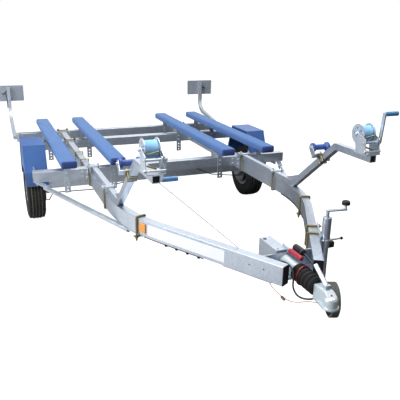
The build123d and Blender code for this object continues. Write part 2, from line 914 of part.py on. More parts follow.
# Winch frame: base plate, two cheeks, drum spindle, crank bearing and gear cover
drum_plane = Plane(origin=(0, drum_y, drum_z), x_dir=(0, 1, 0), z_dir=(1, 0, 0))
crank_plane_yz = Plane(origin=(0, crank_y, crank_z), x_dir=(0, 1, 0), z_dir=(1, 0, 0))
base_y = drum_y - frame_setback
base_front = base_y - frame_length / 2
with BuildPart() as winch_frame:
    with BuildSketch(Plane.XY.offset(post_head_top)):
        with Locations((0, base_y)):
            Rectangle(2 * (frame_half + frame_gauge), frame_length)
    extrude(amount=frame_gauge)
    for x in (-frame_half - frame_gauge, frame_half):
        with BuildSketch(side_plane(x)):
            with BuildLine():
                Polyline(
                    (base_front, post_head_top),
                    (drum_y - frame_eye / 2, post_head_top),
                    (drum_y + frame_eye * 0.9, drum_z - frame_eye * 0.4),
                    (drum_y - frame_eye * 0.3, drum_z + frame_eye * 0.9),
                    (crank_y - 20, crank_z + 20),
                    (crank_y - 20, crank_z - 24),
                    close=True,
                )
            make_face()
            with Locations((drum_y, drum_z)):
                Circle(frame_eye)
        extrude(amount=frame_gauge)
    with BuildSketch(drum_plane.offset(-frame_half - frame_gauge - 6)):
        Circle(spindle_radius)
    extrude(amount=2 * (frame_half + frame_gauge + 6))
    with BuildSketch(side_plane(-frame_half - frame_gauge - 5)):
        with Locations((base_front + 2 * spacer_radius, post_head_top + 3 * spacer_radius)):
            Circle(spacer_radius)
    extrude(amount=2 * (frame_half + frame_gauge + 5))
    with BuildSketch(crank_plane_yz.offset(-frame_half - frame_gauge)):
        Circle(crank_radius + running_gap)
    extrude(amount=2 * (frame_half + frame_gauge), mode=Mode.SUBTRACT)
keep_both(winch_frame, "winch_frames")

drum_axis = Axis((0, drum_y, drum_z), (1, 0, 0))
drum_turn_plane = Plane(origin=(0, drum_y, drum_z), x_dir=(1, 0, 0), z_dir=(0, -1, 0))
spool_bore = spindle_radius + running_gap
with BuildPart() as spool:
    spun(
        (
            (-drum_half - 3, spool_bore),
            (-drum_half - 3, drum_flange),
            (-drum_half, drum_flange),
            (-drum_half, drum_core),
            (drum_half, drum_core),
            (drum_half, drum_flange),
            (drum_half + 3, drum_flange),
            (drum_half + 3, spool_bore),
        ),
        drum_axis,
        drum_turn_plane,
    )
    for start in (-drum_half - 3, drum_half):
        with BuildSketch(drum_plane.offset(start)):
            with PolarLocations(drum_hole_ring, drum_holes):
                Circle(drum_hole)
        extrude(amount=3, mode=Mode.SUBTRACT)
keep_shifted(spool, "winch_drum")

with BuildPart() as strap:
    spun(
        (
            (-strap_half, drum_core + 0.3),
            (-strap_half, strap_radius),
            (strap_half, strap_radius),
            (strap_half, drum_core + 0.3),
        ),
        drum_axis,
        drum_turn_plane,
    )
keep_shifted(strap, "winch_strap")

# Cranks: shaft and arm in one forging, with a hand grip; each is left at its own angle
for side, x, angle in (("left", post_x, crank_left_angle), ("right", -post_x, crank_right_angle)):
    tip_y = crank_y + crank_arm * cos(radians(angle))
    tip_z = crank_z + crank_arm * sin(radians(angle))
    arm_way = (0, cos(radians(angle)), sin(radians(angle)))
    arm_mid = Plane(
        origin=(crank_plane, (crank_y + tip_y) / 2, (crank_z + tip_z) / 2),
        x_dir=arm_way,
        z_dir=(1, 0, 0),
    )
    tip_plane = Plane(origin=(crank_plane + crank_gauge, tip_y, tip_z), x_dir=(0, 1, 0), z_dir=(1, 0, 0))
    with BuildPart() as crank:
        with BuildSketch(crank_plane_yz.offset(-frame_half - frame_gauge - 5)):
            Circle(crank_radius)
        extrude(amount=crank_plane + frame_half + frame_gauge + 5)
        with BuildSketch(crank_plane_yz.offset(drum_half)):
            Circle(pinion_radius)
        extrude(amount=pinion_width)
        with BuildSketch(arm_mid):
            SlotCenterToCenter(crank_arm, crank_width)
        extrude(amount=crank_gauge)
        with BuildSketch(tip_plane):
            Circle(crank_radius - 1)
        extrude(amount=grip_length + 3)
    export_one(crank.part.moved(park * Pos(x, 0, 0)), f"winch_crank_{side}")
    with BuildPart() as grip:
        with BuildSketch(tip_plane):
            Circle(grip_radius)
            Circle(crank_radius - 1, mode=Mode.SUBTRACT)
        extrude(amount=grip_length)
    export_one(grip.part.moved(park * Pos(x, 0, 0)), f"crank_grip_{side}")

# Hitch plate under the drawbar ends, with the bulkhead and the brake lever's channel on it
def arm_inner_x(y):
    return nose_x + (y - nose_y) * sin(turn) / cos(turn) - rail_width / 2 / cos(turn)


def plate_half(y):
    return arm_inner_x(y) + rail_width * 0.9 / cos(turn)


with BuildPart() as hitch_plate:
    with BuildSketch(Plane.XY.offset(rail_bottom - plate_gauge)):
        with BuildLine():
            Polyline(
                (-plate_half(plate_front), plate_front),
                (plate_half(plate_front), plate_front),
                (plate_half(plate_rear), plate_rear),
                (-plate_half(plate_rear), plate_rear),
                close=True,
            )
        make_face()
    extrude(amount=plate_gauge)
keep(hitch_plate, "hitch_plate")

with BuildPart() as bulkhead:
    with BuildSketch(Plane.XY.offset(rail_bottom)):
        with BuildLine():
            Polyline(
                (-arm_inner_x(bulkhead_y), bulkhead_y),
                (arm_inner_x(bulkhead_y), bulkhead_y),
                (arm_inner_x(bulkhead_y - bulkhead_gauge), bulkhead_y - bulkhead_gauge),
                (-arm_inner_x(bulkhead_y - bulkhead_gauge), bulkhead_y - bulkhead_gauge),
                close=True,
            )
        make_face()
    extrude(amount=rail_height - bulkhead_drop)
    with BuildSketch(Plane.XY.offset(rail_bottom)):
        with Locations(((channel_left + channel_right) / 2, (bulkhead_y + channel_rear) / 2)):
            Rectangle(channel_left - channel_right, channel_rear - bulkhead_y)
    extrude(amount=channel_top - rail_bottom)
    with BuildSketch(Plane.XY.offset(rail_bottom)):
        with Locations(((channel_left + channel_right) / 2, (bulkhead_y + channel_rear) / 2)):
            Rectangle(channel_left - channel_right - 2 * channel_gauge, channel_rear - bulkhead_y)
    extrude(amount=channel_top - rail_bottom - channel_gauge, mode=Mode.SUBTRACT)
keep(bulkhead, "brake_channel")

# Overrun housing: a cast sleeve on a foot, against the bulkhead
shaft_axis = Axis((0, 0, shaft_z), (0, 1, 0))
shaft_plane = Plane(origin=(0, 0, shaft_z), x_dir=(0, 1, 0), z_dir=(1, 0, 0))
with BuildPart() as housing:
    with BuildSketch(Plane.XZ.offset(-housing_back)):
        with Locations((0, shaft_z)):
            Circle(housing_radius)
        with Locations((0, (rail_bottom + shaft_z) / 2)):
            Rectangle(housing_radius, shaft_z - rail_bottom)
    extrude(amount=housing_back - housing_front)
    with BuildSketch(Plane.XY.offset(rail_bottom)):
        with Locations((0, (housing_back + housing_front) / 2)):
            Rectangle(2 * housing_foot, housing_back - housing_front)
    extrude(amount=12)
keep(housing, "overrun_housing")

# Rubber bellows over the draw shaft
fold = (housing_front - bellows_front) / bellows_folds
folds = []
for i in range(bellows_folds):
    folds.append((housing_front - i * fold, bellows_root))
    folds.append((housing_front - (i + 0.35) * fold, bellows_crest))
    folds.append((housing_front - (i + 0.65) * fold, bellows_crest))
folds.append((bellows_front, bellows_root))
with BuildPart() as bellows:
    bellows_bore = shaft_radius + 0.3
    spun((*folds, (bellows_front, bellows_bore), (housing_front, bellows_bore)), shaft_axis, shaft_plane)
keep(bellows, "bellows")

# Coupling head on its draw shaft, with the ball socket below
with BuildPart() as head:
    with BuildSketch(Plane.XZ.offset(-housing_front)):
        with Locations((0, shaft_z)):
            Circle(shaft_radius)
    extrude(amount=housing_front - ball_y - ball_socket)
    with BuildSketch(Plane.XY.offset(head_bottom)):
        with Locations((0, ball_y)):
            Circle(head_half)
        with BuildLine():
            Polyline(
                (-head_half, ball_y),
                (head_half, ball_y),
                (head_rear_half, bellows_front),
                (-head_rear_half, bellows_front),
                close=True,
            )
        make_face()
    extrude(amount=head_skirt)
    with BuildPart(mode=Mode.PRIVATE) as dome:
        with BuildSketch(Plane.XY.offset(head_bottom)):
            with Locations((0, ball_y)):
                Circle(head_dome)
        extrude(amount=head_dome_top - head_bottom)
        fillet(dome.edges().group_by(Axis.Z)[-1], radius=head_dome_round)
    add(dome.part)
    with BuildPart(mode=Mode.PRIVATE) as ridge:
        with BuildSketch(side_plane(-head_ridge)):
            with BuildLine():
                Polyline(
                    (bellows_front, head_bottom),
                    (bellows_front, head_top),
                    (ball_y + 0.7 * head_dome, head_top),
                    (ball_y - 0.5 * head_dome, head_dome_top - 4),
                    (ball_y - 0.5 * head_dome, head_bottom),
                    close=True,
                )
            make_face()
        extrude(amount=2 * head_ridge)
        fillet(ridge.faces().sort_by(Axis.Z)[-1].edges(), radius=head_round)
    add(ridge.part)
    with BuildSketch(Plane.XY.offset(head_bottom)):
        with Locations((0, ball_y)):
            Circle(ball_socket)
    extrude(amount=ball_z - head_bottom, mode=Mode.SUBTRACT)
    with Locations((0, ball_y, ball_z)):
        Sphere(ball_socket, mode=Mode.SUBTRACT)
keep(head, "coupling_head")

lever_way = (0, lever_tip[0] - lever_foot[0], lever_tip[1] - lever_foot[1])
with BuildPart() as lever:
    with BuildSketch(Plane(origin=(0, lever_foot[0], lever_foot[1]), x_dir=(1, 0, 0), z_dir=lever_way)):
        Circle(lever_radius)
    extrude(amount=hypot(lever_way[1], lever_way[2]))
    with BuildSketch(Plane.XY.offset(head_top)):
        with Locations((0, lever_foot[0])):
            Rectangle(2.4 * lever_radius, 3 * lever_radius)
    extrude(amount=lever_foot[1] - head_top + lever_radius * 0.6)
keep(lever, "coupling_lever")

# Handbrake lever: a flat bar beside the channel with a red grip
with BuildPart() as brake_bar:
    with BuildSketch(side_plane(channel_left)):
        with BuildLine():
            Polyline(
                (brake_bar_rear, brake_z - brake_bar_height * 2),
                (brake_bar_rear, brake_z + brake_bar_height / 2),
                (brake_grip_rear, brake_z + brake_bar_height / 3),
                (brake_grip_rear, brake_z - brake_bar_height / 3),
                (brake_bar_rear - 40, brake_z - brake_bar_height / 2),
                (brake_bar_rear - 40, brake_z - brake_bar_height * 2),
                close=True,
            )
        make_face()
    extrude(amount=brake_bar_gauge)
keep(brake_bar, "brake_lever")

with BuildPart() as brake_grip:
    grip_mid = (channel_left + brake_bar_gauge / 2, brake_grip_rear, brake_z)
    with BuildSketch(Plane(origin=grip_mid, x_dir=(1, 0, 0), z_dir=(0, -1, 0))):
        Circle(brake_grip_radius)
    extrude(amount=brake_grip_rear - brake_grip_front)
    fillet(brake_grip.edges().group_by(Axis.Y)[0], radius=brake_grip_radius * 0.6)
keep(brake_grip, "brake_grip")

# Jockey wheel clamp and sleeve on the left arm
jockey_plane = Plane(origin=(jockey_x, jockey_y, 0), x_dir=(back_x, back_y, 0), z_dir=(0, 0, 1))
clamp_bottom = frame_top - clamp_height
with BuildPart() as jockey_clamp:
    with BuildSketch(jockey_plane.offset(clamp_bottom)):
        Circle(sleeve_radius + 7)
        with Locations((0, (jockey_out - rail_width / 2) / 2)):
            Rectangle(2 * sleeve_radius, jockey_out - rail_width / 2)
        Circle(sleeve_radius + 0.3, mode=Mode.SUBTRACT)
    extrude(amount=clamp_height)
    plate_mid = (clamp_plate_front + clamp_plate_rear) / 2
    with BuildSketch(arm_plane(plate_mid, rail_width / 2, (hook_low + hook_high) / 2)):
        with BuildLine():
            edge = (clamp_plate_rear - clamp_plate_front) / 2
            tall = clamp_plate_height / 2
            Polyline((-edge, -tall), (edge, -tall), (edge, tall), (-edge, tall), close=True)
        make_face()
        for along in hook_alongs:
            for z in (hook_low, hook_high):
                with Locations((along - plate_mid, z - (hook_low + hook_high) / 2)):
                    Circle(clamp_rod + running_gap, mode=Mode.SUBTRACT)
    extrude(amount=clamp_plate_gauge)
    with BuildSketch(jockey_plane.offset(clamp_bottom)):
        Circle(sleeve_radius + 0.3)
    extrude(amount=clamp_height, mode=Mode.SUBTRACT)
    with BuildSketch(side_plane(jockey_x + sleeve_radius + 4)):
        with Locations((jockey_y, tee_z)):
            Circle(tee_radius)
    extrude(amount=tee_length - sleeve_radius - 4)
keep(jockey_clamp, "jockey_clamp")

with BuildPart() as sleeve:
    with BuildSketch(jockey_plane.offset(sleeve_bottom)):
        Circle(sleeve_radius)
    extrude(amount=sleeve_top - sleeve_bottom)
    with BuildSketch(jockey_plane.offset(sleeve_bottom)):
        Circle(leg_radius + running_gap)
    extrude(amount=sleeve_top - sleeve_bottom - sleeve_wall, mode=Mode.SUBTRACT)
keep(sleeve, "jockey_sleeve")

jack_way = (cos(radians(jack_turn)), -sin(radians(jack_turn)), 0)
jack_plane = Plane(origin=(jockey_x, jockey_y, sleeve_top), x_dir=jack_way, z_dir=(0, 0, 1))
with BuildPart() as jack:
    with BuildSketch(jack_plane):
        Circle(9)
    extrude(amount=34)
    with BuildSketch(jack_plane.offset(34)):
        with Locations((jack_crank / 2, 0)):
            SlotCenterToCenter(jack_crank, 22)
    extrude(amount=7)
    with BuildSketch(jack_plane.offset(41)):
        with Locations((jack_crank, 0)):
            Circle(7)
    extrude(amount=jack_knob_rise - 22)
keep(jack, "jack_crank")

with BuildPart() as knob:
    with BuildSketch(jack_plane.offset(41 + jack_knob_rise - 22)):
        with Locations((jack_crank, 0)):
            Circle(jack_knob)
    extrude(amount=22)
    fillet(knob.edges().group_by(Axis.Z)[-1], radius=9)
    with Locations((jockey_x + tee_length + tee_ball, jockey_y, tee_z)):
        Sphere(tee_ball)
keep(knob, "jack_knob")

# Jockey leg, swivelling fork and wheel
with BuildPart() as leg:
    with BuildSketch(jockey_plane.offset(leg_bottom)):
        Circle(leg_radius)
        Circle(leg_radius - leg_wall, mode=Mode.SUBTRACT)
    extrude(amount=leg_top - leg_bottom)
    with BuildSketch(jockey_plane.offset(leg_bottom)):
        Circle(leg_radius - leg_wall)
        Circle(kingpin_radius + running_gap, mode=Mode.SUBTRACT)
    extrude(amount=leg_plug)
keep(leg, "jockey_leg")

roll_plane = Plane(
    origin=(jockey_x, jockey_y, jockey_z),
    x_dir=(sin(jockey_heading), cos(jockey_heading), 0),
    z_dir=(cos(jockey_heading), -sin(jockey_heading), 0),
)
with BuildPart() as fork:
    with BuildSketch(jockey_plane.offset(fork_top - fork_head)):
        Circle(fork_radius)
    extrude(amount=fork_head)
    with BuildSketch(jockey_plane.offset(fork_top)):
        Circle(kingpin_radius)
    extrude(amount=swivel_gap + leg_plug + 1)
    with BuildSketch(jockey_plane.offset(leg_bottom + leg_plug + 1)):
        Circle(kingpin_radius + 5)
    extrude(amount=6)
    with BuildSketch(roll_plane.offset(leg_radius)):
        Circle(24)
        with Locations((0, (fork_top - jockey_z) / 2)):
            Rectangle(44, fork_top - jockey_z)
    extrude(amount=fork_gauge)
    with BuildSketch(roll_plane.offset(leg_radius + fork_gauge)):
        Circle(jockey_axle)
    extrude(amount=jockey_gap + jockey_width + 6)
keep(fork, "jockey_fork")

jockey_axis = Axis(roll_plane.origin, roll_plane.z_dir)
jockey_spin_plane = Plane(origin=roll_plane.origin, x_dir=roll_plane.z_dir, z_dir=roll_plane.x_dir)
jockey_in = jockey_side - jockey_width / 2
jockey_far = jockey_side + jockey_width / 2
with BuildPart() as jockey_hub:
    spun(
        (
            (jockey_in + 2, jockey_axle + running_gap),
            (jockey_in + 2, 24),
            (jockey_in + 14, 24),
            (jockey_in + 14, jockey_rim - 6),
            (jockey_in + 6, jockey_rim - 6),
            (jockey_in + 6, jockey_rim),
            (jockey_far - 6, jockey_rim),
            (jockey_far - 6, jockey_rim - 6),
            (jockey_far - 14, jockey_rim - 6),
            (jockey_far - 14, 24),
            (jockey_far - 2, 24),
            (jockey_far - 2, jockey_axle + running_gap),
        ),
        jockey_axis,
        jockey_spin_plane,
    )
keep(jockey_hub, "jockey_hub")

with BuildPart() as jockey_tyre:
    spun(
        (
            (jockey_in + 6, jockey_rim + 0.3),
            (jockey_in, jockey_rim + 10),
            (jockey_in, jockey_radius - 14),
            (jockey_in + 8, jockey_radius - 2),
            (jockey_in + 14, jockey_radius),
            (jockey_far - 14, jockey_radius),
            (jockey_far - 8, jockey_radius - 2),
            (jockey_far, jockey_radius - 14),
            (jockey_far, jockey_rim + 10),
            (jockey_far - 6, jockey_rim + 0.3),
        ),
        jockey_axis,
        jockey_spin_plane,
    )
keep(jockey_tyre, "jockey_tyre")

# Lamp posts: a square tube back from the rear cross-member's end, bent up to the board
lamp_run_y = lamp_y - lamp_tube / 2
lamp_start = (cross_rear_y + 10, cross_mid_z)
lamp_slope = sin(radians(lamp_rise)) / cos(radians(lamp_rise))
lamp_corner = (lamp_run_y, cross_mid_z + (lamp_run_y - lamp_start[0]) * lamp_slope)
lamp_head = (lamp_run_y, board_bottom + board_height - 20)
with BuildPart() as lamp_post:
    with BuildLine(side_plane(lamp_x)) as lamp_path:
        FilletPolyline(lamp_start, lamp_corner, lamp_head, radius=lamp_bend)
    with BuildSketch(Plane(origin=lamp_path.line @ 0, x_dir=(1, 0, 0), z_dir=lamp_path.line % 0)):
        Rectangle(lamp_tube, lamp_tube)
    sweep(path=lamp_path.line)
    with BuildSketch(side_plane(cross_half)):
        with Locations((cross_rear_y + cross_depth / 2, cross_mid_z)):
            Rectangle(cross_depth + 20, cross_height)
    extrude(amount=lamp_x - lamp_tube / 2 - cross_half)
    mirror(about=Plane.YZ)
keep(lamp_post, "lamp_posts")

with BuildPart() as board:
    with BuildSketch(Plane.XZ.offset(-lamp_y)):
        with Locations((lamp_x, board_bottom + board_height / 2)):
            RectangleRounded(board_width, board_height, 8)
    extrude(amount=-board_gauge)
    mirror(about=Plane.YZ)
keep(board, "lamp_boards")

with BuildPart() as lamp:
    with BuildSketch(Plane.XZ.offset(-lamp_y - board_gauge)):
        with Locations((lamp_x, board_bottom + board_height / 2)):
            RectangleRounded(lamp_width, lamp_height, 14)
    extrude(amount=-lamp_depth)
    fillet(lamp.edges().group_by(Axis.Y)[-1], radius=8)
    mirror(about=Plane.YZ)
keep(lamp, "tail_lamps")

# Blank panels and amber reflectors on the drawbar's outer faces
panel_bottom = frame_top - rail_height / 2 - panel_height / 2
panel_inner = rail_width / 2
panel_outer = panel_inner + panel_gauge
panel_turn = turn - panel_on_bend / bend_radius


def panel_plan(start):
    """Plan outline of a panel that follows the arm's outer face round the bend's start."""
    with BuildLine() as plan:
        Line(arm_point(start, panel_inner, 0), bend_point(turn, panel_inner, 0))
        ThreePointArc(
            bend_point(turn, panel_inner, 0),
            bend_point((turn + panel_turn) / 2, panel_inner, 0),
            bend_point(panel_turn, panel_inner, 0),
        )
        Line(bend_point(panel_turn, panel_inner, 0), bend_point(panel_turn, panel_outer, 0))
        ThreePointArc(
            bend_point(panel_turn, panel_outer, 0),
            bend_point((turn + panel_turn) / 2, panel_outer, 0),
            bend_point(turn, panel_outer, 0),
        )
        Line(bend_point(turn, panel_outer, 0), arm_point(start, panel_outer, 0))
        Line(arm_point(start, panel_outer, 0), arm_point(start, panel_inner, 0))
    return plan.edges()


with BuildPart() as panel_right:
    with BuildSketch(Plane.XY.offset(panel_bottom)):
        make_face(panel_plan(panel_start_right))
    extrude(amount=panel_height)
with BuildPart() as panel:
    with BuildSketch(Plane.XY.offset(panel_bottom)):
        make_face(panel_plan(panel_start_left))
    extrude(amount=panel_height)
    add(mirror(panel_right.part, about=Plane.YZ, mode=Mode.PRIVATE))
keep(panel, "side_panels")

reflector_turn = turn - reflector_on_bend / bend_radius
reflector_out = (cos(reflector_turn), -sin(reflector_turn))
reflector_plane = Plane(
    origin=(
        bend_centre_x + (bend_radius + rail_width / 2) * reflector_out[0],
        bend_centre_y + (bend_radius + rail_width / 2) * reflector_out[1],
        frame_top - rail_height / 2,
    ),
    x_dir=(-reflector_out[1], reflector_out[0], 0),
    z_dir=(*reflector_out, 0),
)
with BuildPart() as reflector:
    with BuildSketch(reflector_plane):
        Rectangle(reflector_side, reflector_side)
    extrude(amount=reflector_gauge)
    mirror(about=Plane.YZ)
keep(reflector, "side_reflectors")

# Electrical lead looped round the draw shaft, with its plug parked on the bulkhead
def swept_cable(points, radius):
    """Round cable along straight runs joined by tangent arcs that fit each corner."""
    radii = []
    for a, b, c in zip(points, points[1:], points[2:]):
        before = Vector(*b) - Vector(*a)
        after = Vector(*c) - Vector(*b)
        half_turn = radians(before.get_angle(after)) / 2
        radii.append(0.45 * min(before.length, after.length) * cos(half_turn) / sin(half_turn))
    with BuildLine() as route:
        FilletPolyline(*points, radius=radii)
    with BuildSketch(Plane(origin=route.line @ 0, z_dir=route.line % 0)) as section:
        Circle(radius)
    sweep(section.sketch, path=route.line)
    return radii, sum(edge.length for edge in route.edges())


with BuildPart() as lead:
    lead_bends, lead_length = swept_cable(lead_route, lead_radius)
keep(lead, "lead_cable")
print("lead", round(lead_length), "tightest bend", round(min(lead_bends)))

with BuildPart() as plug:
    plug_start = Vector(*lead_route[-1]) + Vector(0, plug_gap, 0)
    with BuildSketch(Plane(origin=plug_start, x_dir=(1, 0, 0), z_dir=(0, 1, 0))):
        Circle(plug_radius)
    extrude(amount=plug_length)
    fillet(plug.edges().group_by(Axis.Y)[0], radius=plug_radius * 0.5)
keep(plug, "lead_plug")

# Breakaway cable from the brake gear under the hitch plate to the coupling head
with BuildPart() as breakaway:
    breakaway_bends, breakaway_length = swept_cable(breakaway_route, breakaway_radius)
keep(breakaway, "breakaway_cable")
print("breakaway", round(breakaway_length), "tightest bend", round(min(breakaway_bends)))

# Wiring clipped under the rails and the brake cables that run in from the backplates
def loom_point(angle, offset):
    radius = bend_radius + offset
    return (
        bend_centre_x + radius * cos(angle),
        bend_centre_y - radius * sin(angle),
        rail_bottom - loom_radius,
    )


with BuildPart() as cables:
    for offset, mirrored in ((loom_offset, True), (-loom_offset, False)):
        start_x = (bend_radius ** 2 - (loom_start_y - bend_centre_y) ** 2) ** 0.5
        begin = atan2(bend_centre_y - loom_start_y, start_x)
        stop = (
            nose_x + loom_end * back_x + offset * out_x,
            nose_y + loom_end * back_y + offset * out_y,
            rail_bottom - loom_radius,
        )
        with BuildPart(mode=Mode.PRIVATE) as loom:
            with BuildLine() as run:
                ThreePointArc(
                    loom_point(begin, offset),
                    loom_point((begin + turn) / 2, offset),
                    loom_point(turn, offset),
                )
                Line(loom_point(turn, offset), stop)
            with BuildSketch(Plane(origin=run.line @ 0, z_dir=run.line % 0)):
                Circle(loom_radius)
            sweep(path=run.line)
        add(mirror(loom.part, about=Plane.YZ, mode=Mode.PRIVATE) if mirrored else loom.part)
    with BuildLine() as hose:
        FilletPolyline(*hose_route, radius=hose_bend)
    with BuildSketch(Plane(origin=hose.line @ 0, z_dir=hose.line % 0)):
        Circle(hose_radius)
    sweep(path=hose.line)
    add(mirror(cables.part, about=Plane.YZ, mode=Mode.PRIVATE))
# Taut tie line from the right winch post down to the drawbar
tie_way = Vector(*tie_foot) - Vector(*tie_top)
with BuildPart() as lines:
    with BuildSketch(Plane(origin=tie_top, z_dir=tie_way)):
        Circle(tie_radius)
    extrude(amount=tie_way.length)
    add(cables.part)
keep(lines, "chassis_cables")
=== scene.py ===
import bmesh
import bpy
import json
from math import atan2, cos, pi, radians, sin
from mathutils import Matrix, Vector


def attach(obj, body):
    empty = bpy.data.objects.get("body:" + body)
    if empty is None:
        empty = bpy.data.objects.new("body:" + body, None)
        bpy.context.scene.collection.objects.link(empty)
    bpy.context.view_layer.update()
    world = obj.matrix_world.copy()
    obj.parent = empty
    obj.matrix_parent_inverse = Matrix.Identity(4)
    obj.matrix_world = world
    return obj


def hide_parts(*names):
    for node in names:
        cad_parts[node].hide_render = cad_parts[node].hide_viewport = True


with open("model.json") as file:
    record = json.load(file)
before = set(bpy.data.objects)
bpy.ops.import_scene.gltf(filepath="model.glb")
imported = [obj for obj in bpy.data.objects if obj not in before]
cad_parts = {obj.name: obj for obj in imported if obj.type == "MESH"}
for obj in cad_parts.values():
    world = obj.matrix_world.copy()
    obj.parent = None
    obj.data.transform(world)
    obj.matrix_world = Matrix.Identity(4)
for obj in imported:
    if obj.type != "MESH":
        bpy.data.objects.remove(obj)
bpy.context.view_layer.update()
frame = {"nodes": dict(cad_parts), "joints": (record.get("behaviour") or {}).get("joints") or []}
nodes = frame["nodes"]
scene = bpy.context.scene
scene.view_settings.view_transform = "Standard"

# Camera: it stands ahead of the nose and to the trailer's right, above the winches.
# Its place and lens come from the lines of the rails, bunks and cross-members.
camera_place = (-1.334, -4.0011, 1.4805)
camera_turn = radians(-21.55)
camera_drop = radians(16.47)
camera_data = bpy.data.cameras.new("camera")
camera_data.sensor_width = 36.0
camera_data.lens = 48.0
camera = bpy.data.objects.new("camera", camera_data)
camera.location = camera_place
camera.rotation_euler = (radians(90) - camera_drop, 0, camera_turn)
scene.collection.objects.link(camera)
scene.camera = camera

# Studio: a pale floor that keeps a soft shadow. The camera sees it white, and reflections see it
# darken towards the trailer's left. An even sky and four large soft lamps stand over it, and the
# one behind lights the tops of the steel.
floor_half = 60.0
floor_z = -0.001
floor_dark, floor_dark_x = 0.06, 0.5
floor_pale, floor_pale_x = 0.52, -1.3
floor_tone = (0.28, 0.28, 0.28, 1)
floor_strength = 0.95
sky_colour = (0.93, 0.96, 1.0, 1)
sky_strength = 0.2
lamp_target = Vector((0, 0, 0.5))
floor_mesh = bpy.data.meshes.new("floor")
floor_mesh.from_pydata(
    [(-floor_half, -floor_half, floor_z), (floor_half, -floor_half, floor_z),
     (floor_half, floor_half, floor_z), (-floor_half, floor_half, floor_z)], [], [(0, 1, 2, 3)])
floor = bpy.data.objects.new("floor", floor_mesh)
scene.collection.objects.link(floor)


def seen_directly(tree):
    """1 where the camera meets the surface, straight or through a clear piece."""
    path = tree.nodes.new("ShaderNodeLightPath")
    either = tree.nodes.new("ShaderNodeMath")
    either.operation = "MAXIMUM"
    tree.links.new(path.outputs["Is Camera Ray"], either.inputs[0])
    tree.links.new(path.outputs["Is Transmission Ray"], either.inputs[1])
    return either.outputs[0]


floor_paint = bpy.data.materials.new("pale floor")
floor_paint.use_nodes = True
tree = floor_paint.node_tree
tree.nodes.clear()
floor_out = tree.nodes.new("ShaderNodeOutputMaterial")
floor_matt = tree.nodes.new("ShaderNodeBsdfDiffuse")
floor_place = tree.nodes.new("ShaderNodeTexCoord")
floor_axes = tree.nodes.new("ShaderNodeSeparateXYZ")
floor_fade = tree.nodes.new("ShaderNodeMapRange")
floor_fade.inputs["From Min"].default_value = floor_dark_x
floor_fade.inputs["From Max"].default_value = floor_pale_x
floor_fade.inputs["To Min"].default_value = floor_dark
floor_fade.inputs["To Max"].default_value = floor_pale
tree.links.new(floor_place.outputs["Object"], floor_axes.inputs[0])
tree.links.new(floor_axes.outputs["X"], floor_fade.inputs["Value"])
tree.links.new(floor_fade.outputs[0], floor_matt.inputs["Color"])
floor_shade = tree.nodes.new("ShaderNodeBsdfDiffuse")
floor_shade.inputs["Color"].default_value = floor_tone
floor_glow = tree.nodes.new("ShaderNodeEmission")
floor_glow.inputs["Strength"].default_value = floor_strength
floor_sum = tree.nodes.new("ShaderNodeAddShader")
floor_pick = tree.nodes.new("ShaderNodeMixShader")
tree.links.new(floor_shade.outputs[0], floor_sum.inputs[0])
tree.links.new(floor_glow.outputs[0], floor_sum.inputs[1])
tree.links.new(seen_directly(tree), floor_pick.inputs[0])
tree.links.new(floor_matt.outputs[0], floor_pick.inputs[1])
tree.links.new(floor_sum.outputs[0], floor_pick.inputs[2])
tree.links.new(floor_pick.outputs[0], floor_out.inputs[0])
floor_mesh.materials.append(floor_paint)

sky = bpy.data.worlds.new("even sky")
sky.use_nodes = True
scene.world = sky
tree = sky.node_tree
tree.nodes.clear()
sky_out = tree.nodes.new("ShaderNodeOutputWorld")
sky_white = tree.nodes.new("ShaderNodeBackground")
sky_white.inputs["Color"].default_value = (1, 1, 1, 1)
sky_white.inputs["Strength"].default_value = 1.0
sky_light = tree.nodes.new("ShaderNodeBackground")
sky_light.inputs["Color"].default_value = sky_colour
sky_light.inputs["Strength"].default_value = sky_strength
sky_pick = tree.nodes.new("ShaderNodeMixShader")
tree.links.new(seen_directly(tree), sky_pick.inputs[0])
tree.links.new(sky_light.outputs[0], sky_pick.inputs[1])
tree.links.new(sky_white.outputs[0], sky_pick.inputs[2])
tree.links.new(sky_pick.outputs[0], sky_out.inputs[0])

for lamp_name, lamp_place, lamp_size, lamp_power in (
    ("key lamp", (-6.0, -0.9, 3.2), 3.5, 440.0),
    ("fill lamp", (3.0, -6.0, 2.5), 4.0, 14.0),
    ("top lamp", (0.0, -0.8, 5.5), 5.0, 430.0),
    ("back lamp", (5.4, 9.0, 4.0), 12.0, 480.0),
):
    lamp_data = bpy.data.lights.new(lamp_name, "AREA")
    lamp_data.size = lamp_size
    lamp_data.energy = lamp_power
    lamp = bpy.data.objects.new(lamp_name, lamp_data)
    lamp.location = lamp_place
    aim = lamp_target - Vector(lamp_place)
    lamp.rotation_euler = aim.to_track_quat("-Z", "Y").to_euler()
    lamp.visible_camera = False
    scene.collection.objects.link(lamp)

# Electrical lead and breakaway cable: a black sheathed lead looped round the draw shaft to
# its parked plug, and a thin red-brown steel cable from the brake gear to the coupling.
# Points are in metres on the level trailer, and the stance sets them down as it parks.
joint = {j["name"]: j for j in frame["joints"]}
axle_y, axle_z = joint["wheel_left_spin"]["pos_m"][1:]
up_axis = joint["jockey_lift"]["axis"]
tilt = Matrix.Rotation(atan2(-up_axis[1], up_axis[2]), 4, "X")
stance = Matrix.Translation((0, axle_y, axle_z)) @ tilt @ Matrix.Translation((0, 0, -axle_z))
lead_radius = 0.0045
lead_route = (
    (-0.078, -2.502, 0.528), (-0.072, -2.558, 0.546), (-0.060, -2.615, 0.560),
    (-0.057, -2.664, 0.548), (-0.064, -2.690, 0.510), (-0.067, -2.692, 0.460),
    (-0.052, -2.725, 0.424), (-0.008, -2.765, 0.424), (0.040, -2.760, 0.434),
    (0.068, -2.725, 0.466), (0.070, -2.690, 0.512), (0.057, -2.660, 0.554),
    (0.058, -2.615, 0.570), (0.058, -2.578, 0.5745),
)
